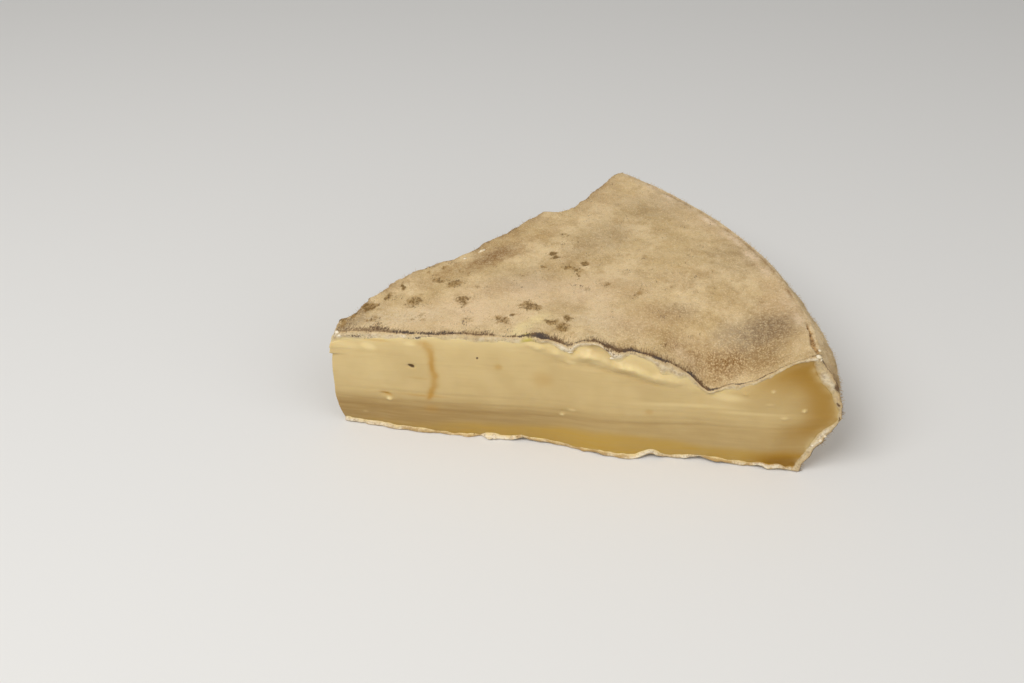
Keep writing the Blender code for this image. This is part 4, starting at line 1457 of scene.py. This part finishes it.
def roundBall():
    # A ball of radius 1: its points and its faces.
    around, up = crumbs["rings"]
    rise = np.linspace(0, np.pi, up + 1)[1:-1]
    angle = np.linspace(0, 2 * np.pi, around, endpoint=False)
    rise, angle = np.meshgrid(rise, angle, indexing="ij")
    ball = np.stack([np.sin(rise) * np.cos(angle), np.sin(rise) * np.sin(angle), np.cos(rise)], axis=-1)
    north = rise.size
    rings = np.arange(north).reshape(rise.shape)
    rings = np.hstack([rings, rings[:, :1]]).tolist()
    faces = gridFaces(np.array(rings))
    faces += [[north, a, b] for a, b in zip(rings[0], rings[0][1:])]
    faces += [[b, a, north + 1] for a, b in zip(rings[-1], rings[-1][1:])]
    return np.vstack([ball.reshape(-1, 3), [(0, 0, 1), (0, 0, -1)]]), faces


def makeCrumbs(rind):
    # Each is a lumpy ball, joined into one piece.
    ball, ballFaces = roundBall()
    points, faces = [], []
    skinPoints = np.array([tuple(vertex.co) for vertex in rind.data.vertices])
    for spot, halves, turn in crumbs["pieces"]:
        away = np.linalg.norm(skinPoints - place(np.array(spot)), axis=1)
        spot = (skinPoints[np.argmin(away)] - place(np.zeros(3))) / mm
        first = len(ball) * len(points)
        lump = ball * halves
        lump = lump * (1 + 1.6 * unevenness(lump + spot, crumbs["uneven"]))[:, None]
        c, s = math.cos(math.radians(turn)), math.sin(math.radians(turn))
        x, y, z = lump.T
        points.append(np.stack([x * c - y * s, x * s + y * c, z], axis=-1) + spot)
        faces += [[first + corner for corner in face] for face in ballFaces]
    points = np.vstack(points)
    points[:, 2] = np.maximum(points[:, 2], 0)
    f = Finish("crumbs", crumbs)
    colour = f.mix(f.step(f.noise(0.8, 3.0, 0.6), 0.40, 0.62), "colour", "other")
    normal = f.bump(f.noise(0.25, 3.0, 0.7), 0.05)
    f.set(Base_Color=colour, Roughness=0.7, Specular_IOR_Level=0.35, Normal=normal)
    return makePiece("crumbs", points, faces, {}, f.material)


# Where the camera stands, and the light round the wedge.
stage = {
    "cameraPlace": (0.01976, -0.25155, 0.18741),
    "cameraDown": 36.5,
    "cameraTurn": 9.912,
    "lens": 37.72,
    "floorTone": (226, 224, 220),
    "floor": (12, 5e-5),  # half its width, and how far it lies below the wedge
    "world": 0.36,
    "key": ((-0.28, -0.4, 0.62), 0.42, 3.75),  # place, size, watts
    "fill": ((0.45, -0.3, 0.45), 0.6, 1.15),
}


def makeStage():
    scene = bpy.context.scene
    scene.view_settings.view_transform = "Standard"
    camera = addObject("camera", bpy.data.cameras.new("camera"))
    camera.data.lens = stage["lens"]
    camera.data.sensor_width = 36.0
    camera.data.clip_start = 0.01
    camera.location = stage["cameraPlace"]
    camera.rotation_euler = (math.radians(90 - stage["cameraDown"]), 0, math.radians(stage["cameraTurn"]))
    scene.camera = camera
    for name in ("key", "fill"):
        spot, size, watts = stage[name]
        light = addObject(name, bpy.data.lights.new(name, "AREA"))
        light.data.size = size
        light.data.energy = watts
        light.location = spot
        light.rotation_euler = (-Vector(spot)).to_track_quat("-Z", "Y").to_euler()
    world = bpy.data.worlds.new("world")
    world.use_nodes = True
    sky = world.node_tree.nodes["Background"]
    sky.inputs["Color"].default_value = (1, 1, 1, 1)
    sky.inputs["Strength"].default_value = stage["world"]
    scene.world = world
    mesh = bpy.data.meshes.new("floor")
    half, drop = stage["floor"]
    corners = (-half, -half), (half, -half), (half, half), (-half, half)
    mesh.from_pydata([(x, y, -drop) for x, y in corners], [], [(0, 1, 2, 3)])
    f = Finish("floor")
    f.set(Base_Color=tone(stage["floorTone"]), Roughness=0.9)
    mesh.materials.append(f.material)
    floor = addObject("floor", mesh)


makeStage()
paste = makePaste()
rind = makeRind()
hairLook = rindFinish("rind_fuzz", fuzzTips)
shortFelt = makeHairs("rind_felt", felt, rind, hairLook)
curledHairs = makeHairs("rind_fuzz", curls, rind, hairLook)
loose = makeCrumbs(rind)
slots = (paste, "paste"), (rind, "rind"), (shortFelt, "rind"), (curledHairs, "rind"), (loose, "paste")
for piece, slot in slots:
    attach(piece, "root")
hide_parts("cheese_wedge")
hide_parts("cheese_wedge")

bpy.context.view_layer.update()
print(f"done after {time.time() - startedAt:.0f} s")
